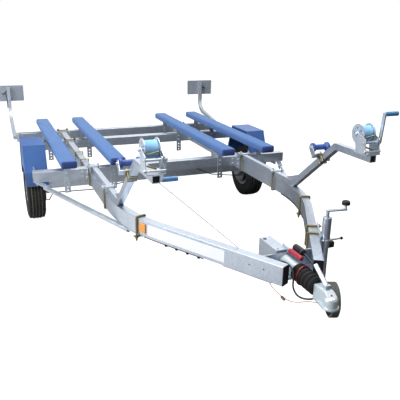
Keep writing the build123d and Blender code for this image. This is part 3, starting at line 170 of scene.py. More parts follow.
breakaway_radius = 0.002
breakaway_route = (
    (-0.090, -2.470, 0.458), (-0.090, -2.480, 0.424), (-0.089, -2.520, 0.397),
    (-0.088, -2.575, 0.388), (-0.087, -2.630, 0.388), (-0.086, -2.685, 0.396),
    (-0.082, -2.735, 0.410), (-0.070, -2.780, 0.432), (-0.056, -2.820, 0.456),
    (-0.0343, -2.853, 0.4605),
)
sheen_tint = (0.5, 0.72, 1.0, 1)


def shader_group(name, inputs, outputs):
    """Node group with float inputs and outputs, and its two ends."""
    group = bpy.data.node_groups.new(name, "ShaderNodeTree")
    for label, value in inputs.items():
        socket = group.interface.new_socket(label, in_out="INPUT", socket_type="NodeSocketFloat")
        socket.default_value = value
    for label in outputs:
        group.interface.new_socket(label, in_out="OUTPUT", socket_type="NodeSocketFloat")
    return group, group.nodes.new("NodeGroupInput"), group.nodes.new("NodeGroupOutput")


def node(tree, kind, links=None, **settings):
    """One node: settings go to its inputs by name or to itself, links to its inputs."""
    made = tree.nodes.new(kind)
    for label, value in settings.items():
        if label in made.inputs:
            made.inputs[label].default_value = value
        else:
            setattr(made, label, value)
    for label, source in (links or {}).items():
        tree.links.new(source, made.inputs[label])
    return made


def sum_of(tree, first, weight, second, other):
    """first times weight, plus second times other."""
    left = node(tree, "ShaderNodeMath", {0: first}, operation="MULTIPLY")
    left.inputs[1].default_value = weight
    right = node(tree, "ShaderNodeMath", {0: second, 2: left.outputs[0]}, operation="MULTIPLY_ADD")
    right.inputs[1].default_value = other
    return right.outputs[0]


def moulded_skin():
    """Fine moulded texture with broad, faint mottling."""
    group, ends_in, ends_out = shader_group(
        "Moulded skin", {"Scale": 300.0, "Mottle Scale": 9.0}, ("Tint", "Roughness", "Height"))
    place = node(group, "ShaderNodeTexCoord").outputs["Object"]
    fine = node(group, "ShaderNodeTexNoise", {"Vector": place, "Scale": ends_in.outputs["Scale"]},
                Detail=4.0)
    broad = node(group, "ShaderNodeTexNoise", {"Vector": place, "Scale": ends_in.outputs["Mottle Scale"]},
                 Detail=3.0)
    group.links.new(sum_of(group, fine.outputs[0], 0.35, broad.outputs[0], 0.65), ends_out.inputs["Tint"])
    group.links.new(broad.outputs[0], ends_out.inputs["Roughness"])
    group.links.new(fine.outputs[0], ends_out.inputs["Height"])
    return group


def surface(name, grain, dark, light, rough, metallic=0.0, bump=0.2, depth=0.0006, coat=0.0, edge=0.0,
            sheen=0.0, specular=0.5, **values):
    """Material whose colour, roughness and relief follow a grain group's outputs."""
    paint = bpy.data.materials.new(name)
    paint.use_nodes = True
    tree = paint.node_tree
    shader = tree.nodes["Principled BSDF"]
    shader.inputs["Metallic"].default_value = metallic
    shader.inputs["Coat Weight"].default_value = coat
    shader.inputs["Specular IOR Level"].default_value = specular
    shader.inputs["Sheen Weight"].default_value = sheen
    shader.inputs["Sheen Tint"].default_value = sheen_tint
    texture = tree.nodes.new("ShaderNodeGroup")
    texture.node_tree = grain
    for label, value in values.items():
        texture.inputs[label.replace("_", " ").title()].default_value = value
    tone = node(tree, "ShaderNodeMix", data_type="RGBA")
    tone.inputs[6].default_value = (*dark, 1)
    tone.inputs[7].default_value = (*light, 1)
    tree.links.new(texture.outputs["Tint"], tone.inputs[0])
    tree.links.new(tone.outputs[2], shader.inputs["Base Color"])
    gloss = node(tree, "ShaderNodeMapRange", {"Value": texture.outputs["Roughness"]})
    gloss.inputs["To Min"].default_value, gloss.inputs["To Max"].default_value = rough
    tree.links.new(gloss.outputs[0], shader.inputs["Roughness"])
    relief = node(tree, "ShaderNodeBump", {"Height": texture.outputs["Height"]}, Strength=bump,
                  Distance=depth)
    if edge:
        softened = node(tree, "ShaderNodeBevel", samples=4, Radius=edge)
        tree.links.new(softened.outputs[0], relief.inputs["Normal"])
    tree.links.new(relief.outputs[0], shader.inputs["Normal"])
    return paint


skin = moulded_skin()
black_sheath = surface("black sheath", skin, (0.012, 0.012, 0.013), (0.03, 0.03, 0.032), (0.35, 0.55))
red_sheath = surface("red sheath", skin, (0.26, 0.08, 0.055), (0.42, 0.14, 0.1), (0.35, 0.5), coat=0.2)


def cable(name, route, radius, paint):
    """Round cable on one smooth line through the parked places of its points."""
    data = bpy.data.curves.new(name, "CURVE")
    data.dimensions = "3D"
    line = data.splines.new("NURBS")
    line.points.add(len(route) - 1)
    for point, spot in zip(line.points, route):
        point.co = (*(stance @ Vector(spot)), 1)
    line.order_u = 3
    line.use_endpoint_u = True
    data.bevel_depth = radius
    data.bevel_resolution = 4
    data.resolution_u = 12
    data.use_fill_caps = True
    data.materials.append(paint)
    made = bpy.data.objects.new(name, data)
    scene.collection.objects.link(made)
    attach(made, "chassis")
    return made


lead = cable("lead_sheath", lead_route, lead_radius, black_sheath)
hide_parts("lead_cable")
breakaway = cable("breakaway_line", breakaway_route, breakaway_radius, red_sheath)
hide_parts("breakaway_cable")

# Clipped wiring, brake cables and tie line: black sheathed runs held under the rails and
# from the backplates to the front cross-member, and a thin line from post to drawbar.
def dress(paint, *names):
    """Gives CAD pieces their finish."""
    for name in names:
        nodes[name].data.materials.clear()
        nodes[name].data.materials.append(paint)


black_moulding = surface("black moulding", skin, (0.008, 0.008, 0.01), (0.022, 0.022, 0.025), (0.4, 0.62),
                         bump=0.3, specular=0.25)
out_of_reach = 100.0


def level_mask():
    """1 above a level of the trailer's own height, or behind a line across it."""
    group, ends_in, ends_out = shader_group(
        "Level mask", {"Level": out_of_reach, "Rear Line": out_of_reach}, ("Mask",))
    place = node(group, "ShaderNodeTexCoord").outputs["Object"]
    height = node(group, "ShaderNodeVectorMath", {0: place}, operation="DOT_PRODUCT")
    height.inputs[1].default_value = up_axis
    above = node(group, "ShaderNodeMath", {0: height.outputs["Value"], 1: ends_in.outputs["Level"]},
                 operation="GREATER_THAN")
    axes = node(group, "ShaderNodeSeparateXYZ", {0: place})
    behind = node(group, "ShaderNodeMath", {0: axes.outputs["Y"], 1: ends_in.outputs["Rear Line"]},
                  operation="GREATER_THAN")
    either = node(group, "ShaderNodeMath", {0: above.outputs[0], 1: behind.outputs[0]}, operation="MAXIMUM")
    group.links.new(either.outputs[0], ends_out.inputs["Mask"])
    return group


zones = level_mask()
level_zero = Vector(up_axis).dot(stance @ Vector((0, 0, 0)))


def two_tone(paint, dark, light, level=out_of_reach, rear=out_of_reach):
    """Second colour on a material above a level or behind a line."""
    tree = paint.node_tree
    shader = tree.nodes["Principled BSDF"]
    first = shader.inputs["Base Color"].links[0].from_socket
    tint = first.node.inputs[0].links[0].from_socket
    zone = tree.nodes.new("ShaderNodeGroup")
    zone.node_tree = zones
    zone.inputs["Level"].default_value = level_zero + level
    zone.inputs["Rear Line"].default_value = rear
    other = node(tree, "ShaderNodeMix", {0: tint}, data_type="RGBA")
    other.inputs[6].default_value = (*dark, 1)
    other.inputs[7].default_value = (*light, 1)
    pick = node(tree, "ShaderNodeMix", {0: zone.outputs["Mask"], 6: first, 7: other.outputs[2]},
                data_type="RGBA")
    tree.links.new(pick.outputs[2], shader.inputs["Base Color"])


run_sheath = surface("clipped sheath", skin, (0.012, 0.012, 0.013), (0.03, 0.03, 0.032), (0.35, 0.55))
tie_line_level = 0.52
two_tone(run_sheath, (0.4, 0.44, 0.42), (0.6, 0.64, 0.62), level=tie_line_level)
dress(run_sheath, "chassis_cables")
plug_black = surface("plug moulding", skin, (0.004, 0.004, 0.006), (0.014, 0.014, 0.017), (0.35, 0.5),
                     bump=0.3)
dress(plug_black, "lead_plug")

# Rails, cross-members, axle and brackets: welded box section and plate, hot-dip galvanised
# after welding, so that the zinc shows its spangle and dull drain marks.
def zinc_spangle():
    """Crystal pattern of hot-dip zinc under broad dull patches."""
    group, ends_in, ends_out = shader_group(
        "Zinc spangle", {"Spangle Scale": 90.0, "Patch Scale": 6.0}, ("Tint", "Roughness", "Height"))
    place = node(group, "ShaderNodeTexCoord").outputs["Object"]
    crystals = node(group, "ShaderNodeTexVoronoi", {
        "Vector": place, "Scale": ends_in.outputs["Spangle Scale"]})
    shade = node(group, "ShaderNodeSeparateColor", {"Color": crystals.outputs["Color"]})
    patches = node(group, "ShaderNodeTexNoise", {"Vector": place, "Scale": ends_in.outputs["Patch Scale"]},
                   Detail=6.0, Roughness=0.62)
    group.links.new(sum_of(group, shade.outputs[0], 0.3, patches.outputs[0], 0.7), ends_out.inputs["Tint"])
    group.links.new(sum_of(group, shade.outputs[1], 0.4, patches.outputs[0], 0.6),
                    ends_out.inputs["Roughness"])
    group.links.new(patches.outputs[0], ends_out.inputs["Height"])
    return group


spangle = zinc_spangle()
galvanised = surface("galvanised steel", spangle, (0.4, 0.45, 0.53), (0.66, 0.73, 0.82), (0.24, 0.44),
                     metallic=0.88, bump=0.1, edge=0.005)
bright_zinc = surface("bright zinc plate", skin, (0.5, 0.56, 0.63), (0.72, 0.78, 0.85), (0.24, 0.38),
                      metallic=0.65, bump=0.0, edge=0.002, mottle_scale=14.0)
dull_zinc = surface("dull zinc tube", spangle, (0.34, 0.38, 0.44), (0.52, 0.57, 0.64), (0.42, 0.6),
                    metallic=0.55, bump=0.1, edge=0.004)
dress(galvanised, "rail_left", "rail_right", "cross_front", "cross_middle", "cross_rear", "axle_beam",
      "axle_hangers", "guard_stays", "bunk_uprights", "braces", "winch_posts", "hitch_plate",
      "brake_channel", "swing_arms")
dress(dull_zinc, "lamp_posts")
dress(black_moulding, "rail_caps")
sharp_angle = radians(38)


def slab(form, low, high, soft=0.0):
    """Box between two corners, its edges rounded."""
    made = bmesh.ops.create_cube(form, size=1.0)["verts"]
    low, high = Vector(low), Vector(high)
    for vert in made:
        vert.co = Vector((low[i] + (vert.co[i] + 0.5) * (high[i] - low[i]) for i in range(3)))
    if soft:
        edges = list({edge for vert in made for edge in vert.link_edges})
        bmesh.ops.bevel(form, geom=edges, offset=soft, segments=5, affect="EDGES", profile=0.5)


def lathe(form, outline, steps, place, closed=False):
    """Outline of (along, radius) turned about the local X axis, then set in place."""
    rings = []
    turns = [2 * pi * i / steps for i in range(steps)]
    for along, radius in outline:
        rings.append([form.verts.new(place @ Vector((along, radius * cos(turn), radius * sin(turn))))
                      for turn in turns])
    pairs = list(zip(rings, rings[1:]))
    if closed:
        pairs.append((rings[-1], rings[0]))
    else:
        form.faces.new(rings[0][::-1])
        form.faces.new(rings[-1])
    for first, second in pairs:
        for i in range(steps):
            j = (i + 1) % steps
            form.faces.new((first[i], first[j], second[j], second[i]))


def rod(form, points, radius):
    """Round bar through the points."""
    data = bpy.data.curves.new("bar", "CURVE")
    data.dimensions = "3D"
    line = data.splines.new("POLY")
    line.points.add(len(points) - 1)
    for point, spot in zip(line.points, points):
        point.co = (*spot, 1)
    data.bevel_depth = radius
    data.bevel_resolution = 3
    data.use_fill_caps = True
    bar = bpy.data.objects.new("bar", data)
    mesh = bpy.data.meshes.new_from_object(bar)
    form.from_mesh(mesh)
    bpy.data.objects.remove(bar)
    bpy.data.curves.remove(data)
    bpy.data.meshes.remove(mesh)


def piece(name, form, paint, body, place=stance):
    """Finished mesh piece that rides on a body."""
    mesh = bpy.data.meshes.new(name)
    form.transform(place)
    bmesh.ops.recalc_face_normals(form, faces=form.faces)
    form.to_mesh(mesh)
    form.free()
    mesh.shade_smooth()
    mesh.set_sharp_from_angle(angle=sharp_angle)
    mesh.materials.append(paint)
    made = bpy.data.objects.new(name, mesh)
    scene.collection.objects.link(made)
    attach(made, body)
    return made


# Holes in the drawbar and the lever channel: drilled through the steel before galvanising.
# Each is drawn as a shallow disc painted near black, as painted shade for the hole's dark inside, given by
# its spot, the way it faces and its radius.
arm_face = (-0.8746, -0.4848, 0)
hole_spots = (
    ((-0.2070, -2.5033, 0.523), arm_face, 0.004),
    ((-0.1663, -2.5768, 0.523), arm_face, 0.004),
    ((-0.033, -2.336, 0.5700), (0, 0, 1), 0.011),
    ((-0.033, -2.476, 0.5700), (0, 0, 1), 0.005),
)
hole_sunk, hole_proud = -0.001, 0.0004
hole_shade_paint = surface("painted hole shade", skin, (0.01, 0.01, 0.011), (0.03, 0.03, 0.033), (0.7, 0.9))
form = bmesh.new()
for spot, facing, size in hole_spots:
    aim = Vector(facing).to_track_quat("X", "Z").to_matrix().to_4x4()
    lathe(form, ((hole_sunk, size), (hole_proud, size)), 20, Matrix.Translation(spot) @ aim)
piece("drilled_holes", form, hole_shade_paint, "chassis")

# Cleats, U-bolts, flat bars and nuts: bent flat and round bar, yellow zinc plated and olive where
# dulled. The cleats and the clamps' tops are plain zinc. Every nut is a hexagon on its stud's end.
gold_zinc, clamp_zinc = (
    surface(name, spangle, (0.13, 0.11, 0.05), (0.36, 0.31, 0.17), (0.32, 0.5), metallic=0.75, bump=0.1,
            spangle_scale=120.0, patch_scale=14.0)
    for name in ("yellow zinc plate", "clamp plating"))
plain_level, plain_rear = 0.598, 0.012
two_tone(clamp_zinc, (0.42, 0.46, 0.52), (0.66, 0.71, 0.78), level=plain_level, rear=plain_rear)
dress(clamp_zinc, "frame_clamps")


def scatter_tree(name, sockets, build, pivot="AUTO"):
    """Geometry Nodes tree that sets one built form on every point, facing along its attribute."""
    tree = bpy.data.node_groups.new(name, "GeometryNodeTree")
    tree.interface.new_socket("Geometry", in_out="INPUT", socket_type="NodeSocketGeometry")
    for label, kind in sockets:
        tree.interface.new_socket(label, in_out="INPUT", socket_type=kind)
    tree.interface.new_socket("Material", in_out="INPUT", socket_type="NodeSocketMaterial")
    tree.interface.new_socket("Geometry", in_out="OUTPUT", socket_type="NodeSocketGeometry")
    ends_in = tree.nodes.new("NodeGroupInput")
    ends_out = tree.nodes.new("NodeGroupOutput")
    facing = node(tree, "GeometryNodeInputNamedAttribute", data_type="FLOAT_VECTOR", Name="facing")
    aim = node(tree, "FunctionNodeAlignRotationToVector", {"Vector": facing.outputs["Attribute"]}, axis="Z",
               pivot_axis=pivot)
    spread = node(tree, "GeometryNodeInstanceOnPoints", {
        "Points": ends_in.outputs["Geometry"], "Instance": build(tree, ends_in), "Rotation": aim.outputs[0]})
    solid = node(tree, "GeometryNodeRealizeInstances", {"Geometry": spread.outputs[0]})
    coated = node(tree, "GeometryNodeSetMaterial", {
        "Geometry": solid.outputs[0], "Material": ends_in.outputs["Material"]})
    tree.links.new(coated.outputs[0], ends_out.inputs["Geometry"])
    return tree


def nut_form(tree, ends_in):
    """Hexagon nut with the end of its stud."""
    nut = node(tree, "GeometryNodeMeshCylinder", {
        "Radius": ends_in.outputs["Radius"], "Depth": ends_in.outputs["Height"]}, Vertices=6)
    stud = node(tree, "GeometryNodeMeshCylinder", {
        "Radius": ends_in.outputs["Stud Radius"], "Depth": ends_in.outputs["Stud Length"]}, Vertices=12)
    both = node(tree, "GeometryNodeJoinGeometry")
    tree.links.new(nut.outputs["Mesh"], both.inputs[0])
    tree.links.new(stud.outputs["Mesh"], both.inputs[0])
    return both.outputs[0]


nut_tree = scatter_tree("nut field", (
    ("Radius", "NodeSocketFloat"), ("Height", "NodeSocketFloat"),
    ("Stud Radius", "NodeSocketFloat"), ("Stud Length", "NodeSocketFloat")), nut_form)


def scattered(name, tree, spots, paint, body, slot_name, place=stance, **inputs):
    """Runs a scatter tree on (spot, facing) pairs and keeps the plain mesh."""
    turn = place.to_3x3()
    mesh = bpy.data.meshes.new(name)
    mesh.from_pydata([place @ Vector(spot) for spot, facing in spots], [], [])
    ways = mesh.attributes.new("facing", "FLOAT_VECTOR", "POINT")
    ways.data.foreach_set("vector", [v for spot, facing in spots for v in turn @ Vector(facing)])
    made = bpy.data.objects.new(name, mesh)
    scene.collection.objects.link(made)
    run = made.modifiers.new(name, "NODES")
    run.node_group = tree
    values = {label.replace("_", " ").title(): value for label, value in inputs.items()}
    values["Material"] = paint
    for item in tree.interface.items_tree:
        if item.in_out == "INPUT" and item.name in values:
            run[item.identifier] = values[item.name]
    bpy.context.view_layer.update()
    ready = made.evaluated_get(bpy.context.evaluated_depsgraph_get())
    plain = bpy.data.meshes.new_from_object(ready)
    made.modifiers.clear()
    made.data = plain
    bpy.data.meshes.remove(mesh)
    plain.name = name
    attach(made, body)
    return made


rail_x = 0.640
rail_half = 0.025
bend_centre = (-0.585, -1.3536)
bend_radius = 1.225
arm_nose = (0.092, -2.659)
arm_back = (0.4848, 0.8746)
arm_out = (0.8746, -0.4848)


def on_arm(along, out):
    """Place (x, y) on the left drawbar arm, along its line from the nose and out from it."""
    return [arm_nose[i] + along * arm_back[i] + out * arm_out[i] for i in range(2)]


def on_bend(radius, turn):
    """Place (x, y) on the left rail's bend."""
    return bend_centre[0] + radius * cos(turn), bend_centre[1] - radius * sin(turn)


post_clamp_ys = (-0.720, -1.270)
post_clamp_xs = (rail_x - 0.039, rail_x + 0.032)
post_nut_z = 0.617
bend_clamp_turn = radians(20.5)
bend_nut_off = 0.032
bend_nut_z = 0.4432
jockey_stud_alongs = (0.345, 0.455)
jockey_stud_zs = (0.4525, 0.573)
jockey_stud_out = 0.037
clamp_nuts = []
post_nuts = []
for side in (-1, 1):
    for y in post_clamp_ys:
        for x in post_clamp_xs:
            post_nuts.append(((side * x, y, post_nut_z), (0, 0, 1)))
    for off in (-bend_nut_off, bend_nut_off):
        x, y = on_bend(bend_radius + off, bend_clamp_turn)
        clamp_nuts.append(((side * x, y, bend_nut_z), (0, 0, -1)))
for along in jockey_stud_alongs:
    for z in jockey_stud_zs:
        clamp_nuts.append(((*on_arm(along, jockey_stud_out), z), (*arm_out, 0)))
clamp_nut_size = {"radius": 0.011, "height": 0.009, "stud_radius": 0.006, "stud_length": 0.012}
scattered("clamp_nuts", nut_tree, clamp_nuts, gold_zinc, "chassis", "gold_zinc", **clamp_nut_size)
scattered("post_nuts", nut_tree, post_nuts, bright_zinc, "chassis", "galvanised_steel", **clamp_nut_size)
hoop_ys = (-0.095, -0.362)
hoop_half, hoop_low, hoop_high = 0.031, 0.468, 0.579
hoop_radius = 0.0055
bar_ys = (0.440, 0.925)
bar_half, bar_half_width, bar_low, bar_high = 0.056, 0.013, 0.5728, 0.5790
bar_nut_off, bar_nut_z = 0.045, 0.583
form = bmesh.new()
bar_nuts = []
for side in (-1, 1):
    middle = side * rail_x
    for y in hoop_ys:
        rod(form, [(middle - hoop_half, y, hoop_low), (middle - hoop_half, y, hoop_high),
                   (middle + hoop_half, y, hoop_high), (middle + hoop_half, y, hoop_low)], hoop_radius)
    for y in bar_ys:
        slab(form, (middle - bar_half, y - bar_half_width, bar_low),
             (middle + bar_half, y + bar_half_width, bar_high), soft=0.001)
        for off in (-bar_nut_off, bar_nut_off):
            bar_nuts.append(((middle + off, y, bar_nut_z), (0, 0, 1)))
piece("rail_hoops", form, gold_zinc, "chassis")
scattered("bar_nuts", nut_tree, bar_nuts, gold_zinc, "chassis", "gold_zinc",
          radius=0.010, height=0.009, stud_radius=0.006, stud_length=0.022)
cross_fronts = (-0.615, 0.446, 0.901)
cleat_zs = (0.510, 0.546)
bolt_stand = 0.008
bolt_inset = 0.038
bolt_reach = 0.040
cleat_bolts = []
for front in cross_fronts:
    for side in (-1, 1):
        for z in cleat_zs:
            y = front - bolt_inset
            cleat_bolts.append(((side * (rail_x - rail_half - bolt_stand), y, z), (-side, 0, 0)))
            cleat_bolts.append(((side * (rail_x + rail_half + bolt_stand), y, z), (side, 0, 0)))
            for x in (rail_x - rail_half - bolt_reach, rail_x + rail_half + bolt_reach):
                cleat_bolts.append(((side * x, front - bolt_stand, z), (0, -1, 0)))
scattered("cleat_bolts", nut_tree, cleat_bolts, bright_zinc, "chassis", "galvanised_steel",
          radius=0.010, height=0.008, stud_radius=0.006, stud_length=0.014)

# Road wheels: silver painted steel rims on cast drums, with black tyres that carry five
# rows of tread blocks between four grooves.
rim_silver = surface("silver wheel paint", skin, (0.46, 0.48, 0.51), (0.62, 0.64, 0.67), (0.28, 0.42),
                     metallic=0.4, bump=0.08, coat=0.3)
drum_iron = surface("dark cast drum", skin, (0.04, 0.04, 0.045), (0.1, 0.1, 0.105), (0.5, 0.75),
                    metallic=0.5, bump=0.5, scale=160.0)
road_rubber = surface("road rubber", skin, (0.007, 0.007, 0.008), (0.026, 0.025, 0.023), (0.6, 0.85),
                      bump=0.4, specular=0.25, scale=220.0)
groove_dust = surface("dusty grooves", skin, (0.1, 0.096, 0.08), (0.19, 0.18, 0.15), (0.7, 0.9), bump=0.3)
dress(rim_silver, "rim_left", "rim_right")
dress(drum_iron, "brake_drum_left", "brake_drum_right")
tyre_radius = 0.245
tread_depth = 0.006
tread_count = 56
tread_rows = ((-0.051, 0.0045), (-0.026, 0.0), (0.0, 0.0), (0.026, 0.0), (0.051, 0.0045))
block_size = (0.019, 0.0225, 0.0065)
block_lift = 0.0024
groove_acrosses = (-0.0385, -0.013, 0.013, 0.0385)
groove_half, groove_sunk, groove_proud = 0.003, 0.003, 0.0012
lug_count, lug_ring, lug_stand = 4, 0.050, 0.0065
base = tyre_radius - tread_depth
tyre_outline = (
    (-0.0575, 0.129), (-0.066, 0.136), (-0.0725, 0.165), (-0.0735, 0.190), (-0.0715, 0.212),
    (-0.067, base - 0.014), (-0.060, base - 0.007), (-0.040, base), (0.040, base), (0.060, base - 0.007),
    (0.067, base - 0.014), (0.0715, 0.212), (0.0735, 0.190), (0.0725, 0.165), (0.066, 0.136),
    (0.0575, 0.129), (0.050, 0.1305), (0.050, 0.150), (-0.050, 0.150), (-0.050, 0.1305),
)


def block_form(tree, ends_in):
    """Tread block: its foot sinks a little into the carcass."""
    block = node(tree, "GeometryNodeMeshCube", {"Size": ends_in.outputs["Size"]})
    return block.outputs["Mesh"]


block_tree = scatter_tree("tread field", (("Size", "NodeSocketVector"),), block_form, pivot="X")
for side in ("left", "right"):
    hub = Matrix.Translation(joint[f"wheel_{side}_spin"]["pos_m"])
    form = bmesh.new()
    lathe(form, tyre_outline, 96, hub, closed=True)
    tyre = piece(f"tyre_carcass_{side}", form, road_rubber, f"wheel_{side}", Matrix())
    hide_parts(f"tyre_{side}")
    form = bmesh.new()
    for across in groove_acrosses:
        near, far = across - groove_half, across + groove_half
        low, high = base - groove_sunk, base + groove_proud
        lathe(form, ((near, low), (near, high), (far, high), (far, low)), 96, hub, closed=True)
    piece(f"grooves_{side}", form, groove_dust, f"wheel_{side}", Matrix())
    for row, (across, drop) in enumerate(tread_rows):
        spots = []
        for i in range(tread_count):
            angle = 2 * pi * (i + 0.5 * (row % 2)) / tread_count
            way = (0, cos(angle), sin(angle))
            reach = base + block_lift - drop
            spots.append(((across, way[1] * reach, way[2] * reach), way))
        scattered(f"tread_{side}_{row + 1}", block_tree, spots, road_rubber, f"wheel_{side}",
                  "tyre_rubber", hub, size=block_size)
    out = 1 if side == "left" else -1
    lugs = []
    for i in range(lug_count):
        angle = 2 * pi * (i + 0.5) / lug_count
        lugs.append(((out * lug_stand, lug_ring * cos(angle), lug_ring * sin(angle)), (out, 0, 0)))
    scattered(f"wheel_nuts_{side}", nut_tree, lugs, bright_zinc, f"wheel_{side}", "galvanised_steel", hub,
              radius=0.011, height=0.016, stud_radius=0.006, stud_length=0.02)

# Mudguards: folded plastic panels in mid blue, bolted to flat galvanised stays on the frame.
# A thin outer side plate closes each arch above the wheel.
guard_blue = surface("moulded blue panel", skin, (0.028, 0.085, 0.25), (0.045, 0.12, 0.33), (0.35, 0.5),
                     bump=0.15)
dress(guard_blue, "mudguards")
skirt_xs = (1.1010, 1.1025)
skirt_outline = ((-0.245, 0.430), (-0.245, 0.469), (-0.163, 0.672),
                 (0.163, 0.672), (0.245, 0.469), (0.245, 0.430))
form = bmesh.new()
for side in (-1, 1):
    faces = []
    for x in skirt_xs:
        faces.append([form.verts.new((side * x, y, z)) for y, z in skirt_outline])
        form.faces.new(faces[-1])
    for i in range(len(skirt_outline)):
        form.faces.new((faces[0][i - 1], faces[0][i], faces[1][i], faces[1][i - 1]))
piece("guard_skirts", form, guard_blue, "chassis")

# Bunks: long boards wrapped in blue carpet, drawn tight so that every edge is rounded,
# on drilled galvanised uprights bolted to the cross-members.
def carpet_pile():
    """Short carpet pile: speckled tufts in lines, flattened in broad patches."""
    group, ends_in, ends_out = shader_group(
        "Carpet pile", {"Tuft Scale": 420.0, "Patch Scale": 7.0}, ("Tint", "Roughness", "Height"))
    place = node(group, "ShaderNodeTexCoord").outputs["Object"]
    tufts = node(group, "ShaderNodeTexVoronoi", {"Vector": place, "Scale": ends_in.outputs["Tuft Scale"]})
    patches = node(group, "ShaderNodeTexNoise", {"Vector": place, "Scale": ends_in.outputs["Patch Scale"]},
                   Detail=5.0)
    group.links.new(sum_of(group, tufts.outputs["Distance"], 0.5, patches.outputs[0], 0.6),
                    ends_out.inputs["Tint"])
    group.links.new(patches.outputs[0], ends_out.inputs["Roughness"])
    group.links.new(tufts.outputs["Distance"], ends_out.inputs["Height"])
    return group


# The carpet's first colours, dark navy, are painted shade on the boards' front end faces. Behind the end
# line the second colours give the carpet its own lighter blue.
bunk_carpet = surface("blue bunk carpet", carpet_pile(), (0.008, 0.022, 0.12), (0.025, 0.055, 0.22),
                      (0.8, 0.95), bump=0.5, depth=0.0015, sheen=0.35)
# End line: in front of it the carpet carries painted shade, darker than the carpet's own blue.
shaded_end_line = (stance @ Vector((0, -0.785, 0.650))).y
two_tone(bunk_carpet, (0.018, 0.056, 0.19), (0.055, 0.14, 0.36), rear=shaded_end_line)
bunk_xs = (-0.822, -0.458, 0.458, 0.822)
bunk_half = 0.0595
bunk_front, bunk_rear = -0.792, 1.080
bunk_low, bunk_high = 0.620, 0.679
bunk_round = 0.0165
form = bmesh.new()
for x in bunk_xs:
    slab(form, (x - bunk_half, bunk_front, bunk_low), (x + bunk_half, bunk_rear, bunk_high), soft=bunk_round)
bunk_boards = piece("bunk_boards", form, bunk_carpet, "chassis")
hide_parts("bunks")
upright_zs = (0.508, 0.546)
upright_stand = 0.010
upright_bolts = []
for front in cross_fronts:
    for x in bunk_xs:
        for z in upright_zs:
            upright_bolts.append(((x, front - upright_stand, z), (0, -1, 0)))
scattered("upright_bolts", nut_tree, upright_bolts, bright_zinc, "chassis", "galvanised_steel",
          radius=0.010, height=0.008, stud_radius=0.005, stud_length=0.013)

# Winch posts: bent square tube, galvanised and clamped along the rails by U-bolts.
# A black moulded plug is pressed into each front end.
post_x = 0.628
post_plug_half = 0.0165
post_plug_low, post_plug_high = (-2.320, 0.9355), (-2.300, 0.9685)
form = bmesh.new()
for side in (-1, 1):
    slab(form, (side * post_x - post_plug_half, *post_plug_low),
         (side * post_x + post_plug_half, *post_plug_high), soft=0.002)
piece("post_plugs", form, black_moulding, "chassis")

# Snub rollers: blue rubber dumb-bells that stop the hull, on bent straps held to the posts
# by yellow zinc U-bolts.
dress(galvanised, "snub_brackets")
roller_blue = surface("moulded blue rubber", skin, (0.022, 0.06, 0.26), (0.05, 0.11, 0.38), (0.35, 0.5))
dress(roller_blue, "snub_roller_left", "snub_roller_right")
snub_foot = Vector((0, -1.540, 0.587))
snub_rise = Vector((0, -0.450, 0.365)).normalized()
snub_lift = Vector((0, snub_rise[2], -snub_rise[1]))
snub_base = snub_foot + 0.410 * snub_rise
snub_alongs = (-0.020, 0.020)
snub_bolt_half, snub_bolt_end, snub_bolt_radius = 0.0255, 0.040, 0.005
snub_nut_lift = 0.029
form = bmesh.new()
snub_nuts = []
for side in (-1, 1):
    for along in snub_alongs:
        seat = snub_base + along * snub_rise + Vector((side * post_x, 0, 0))
        rod(form, [seat + Vector((x, 0, 0)) + lift * snub_lift for x, lift in (
            (-snub_bolt_half, snub_bolt_end), (-snub_bolt_half, -snub_bolt_half),
            (snub_bolt_half, -snub_bolt_half), (snub_bolt_half, snub_bolt_end))], snub_bolt_radius)
        for x in (-snub_bolt_half, snub_bolt_half):
            snub_nuts.append((seat + Vector((x, 0, 0)) + snub_nut_lift * snub_lift, snub_lift))
piece("snub_bolts", form, gold_zinc, "chassis")
scattered("snub_nuts", nut_tree, snub_nuts, gold_zinc, "chassis", "gold_zinc",
          radius=0.009, height=0.008, stud_radius=0.005, stud_length=0.012)

# Winches: pressed galvanised frames and drums, light blue webbing wound on the drums, and
# cranks with blue hand grips. A yellow zinc pawl lies over each frame.
def woven_band():
    """Webbing: ribs along the band under broad patches."""
    group, ends_in, ends_out = shader_group(
        "Woven band", {"Rib Scale": 260.0, "Patch Scale": 22.0}, ("Tint", "Roughness", "Height"))
    place = node(group, "ShaderNodeTexCoord").outputs["Object"]
    ribs = node(group, "ShaderNodeTexWave", {"Vector": place, "Scale": ends_in.outputs["Rib Scale"]},
                bands_direction="X", Distortion=0.6, Detail=1.0)
    patches = node(group, "ShaderNodeTexNoise", {"Vector": place, "Scale": ends_in.outputs["Patch Scale"]},
                   Detail=5.0)
    group.links.new(sum_of(group, ribs.outputs["Fac"], 0.35, patches.outputs[0], 0.65),
                    ends_out.inputs["Tint"])
    group.links.new(patches.outputs[0], ends_out.inputs["Roughness"])
    group.links.new(ribs.outputs["Fac"], ends_out.inputs["Height"])
    return group


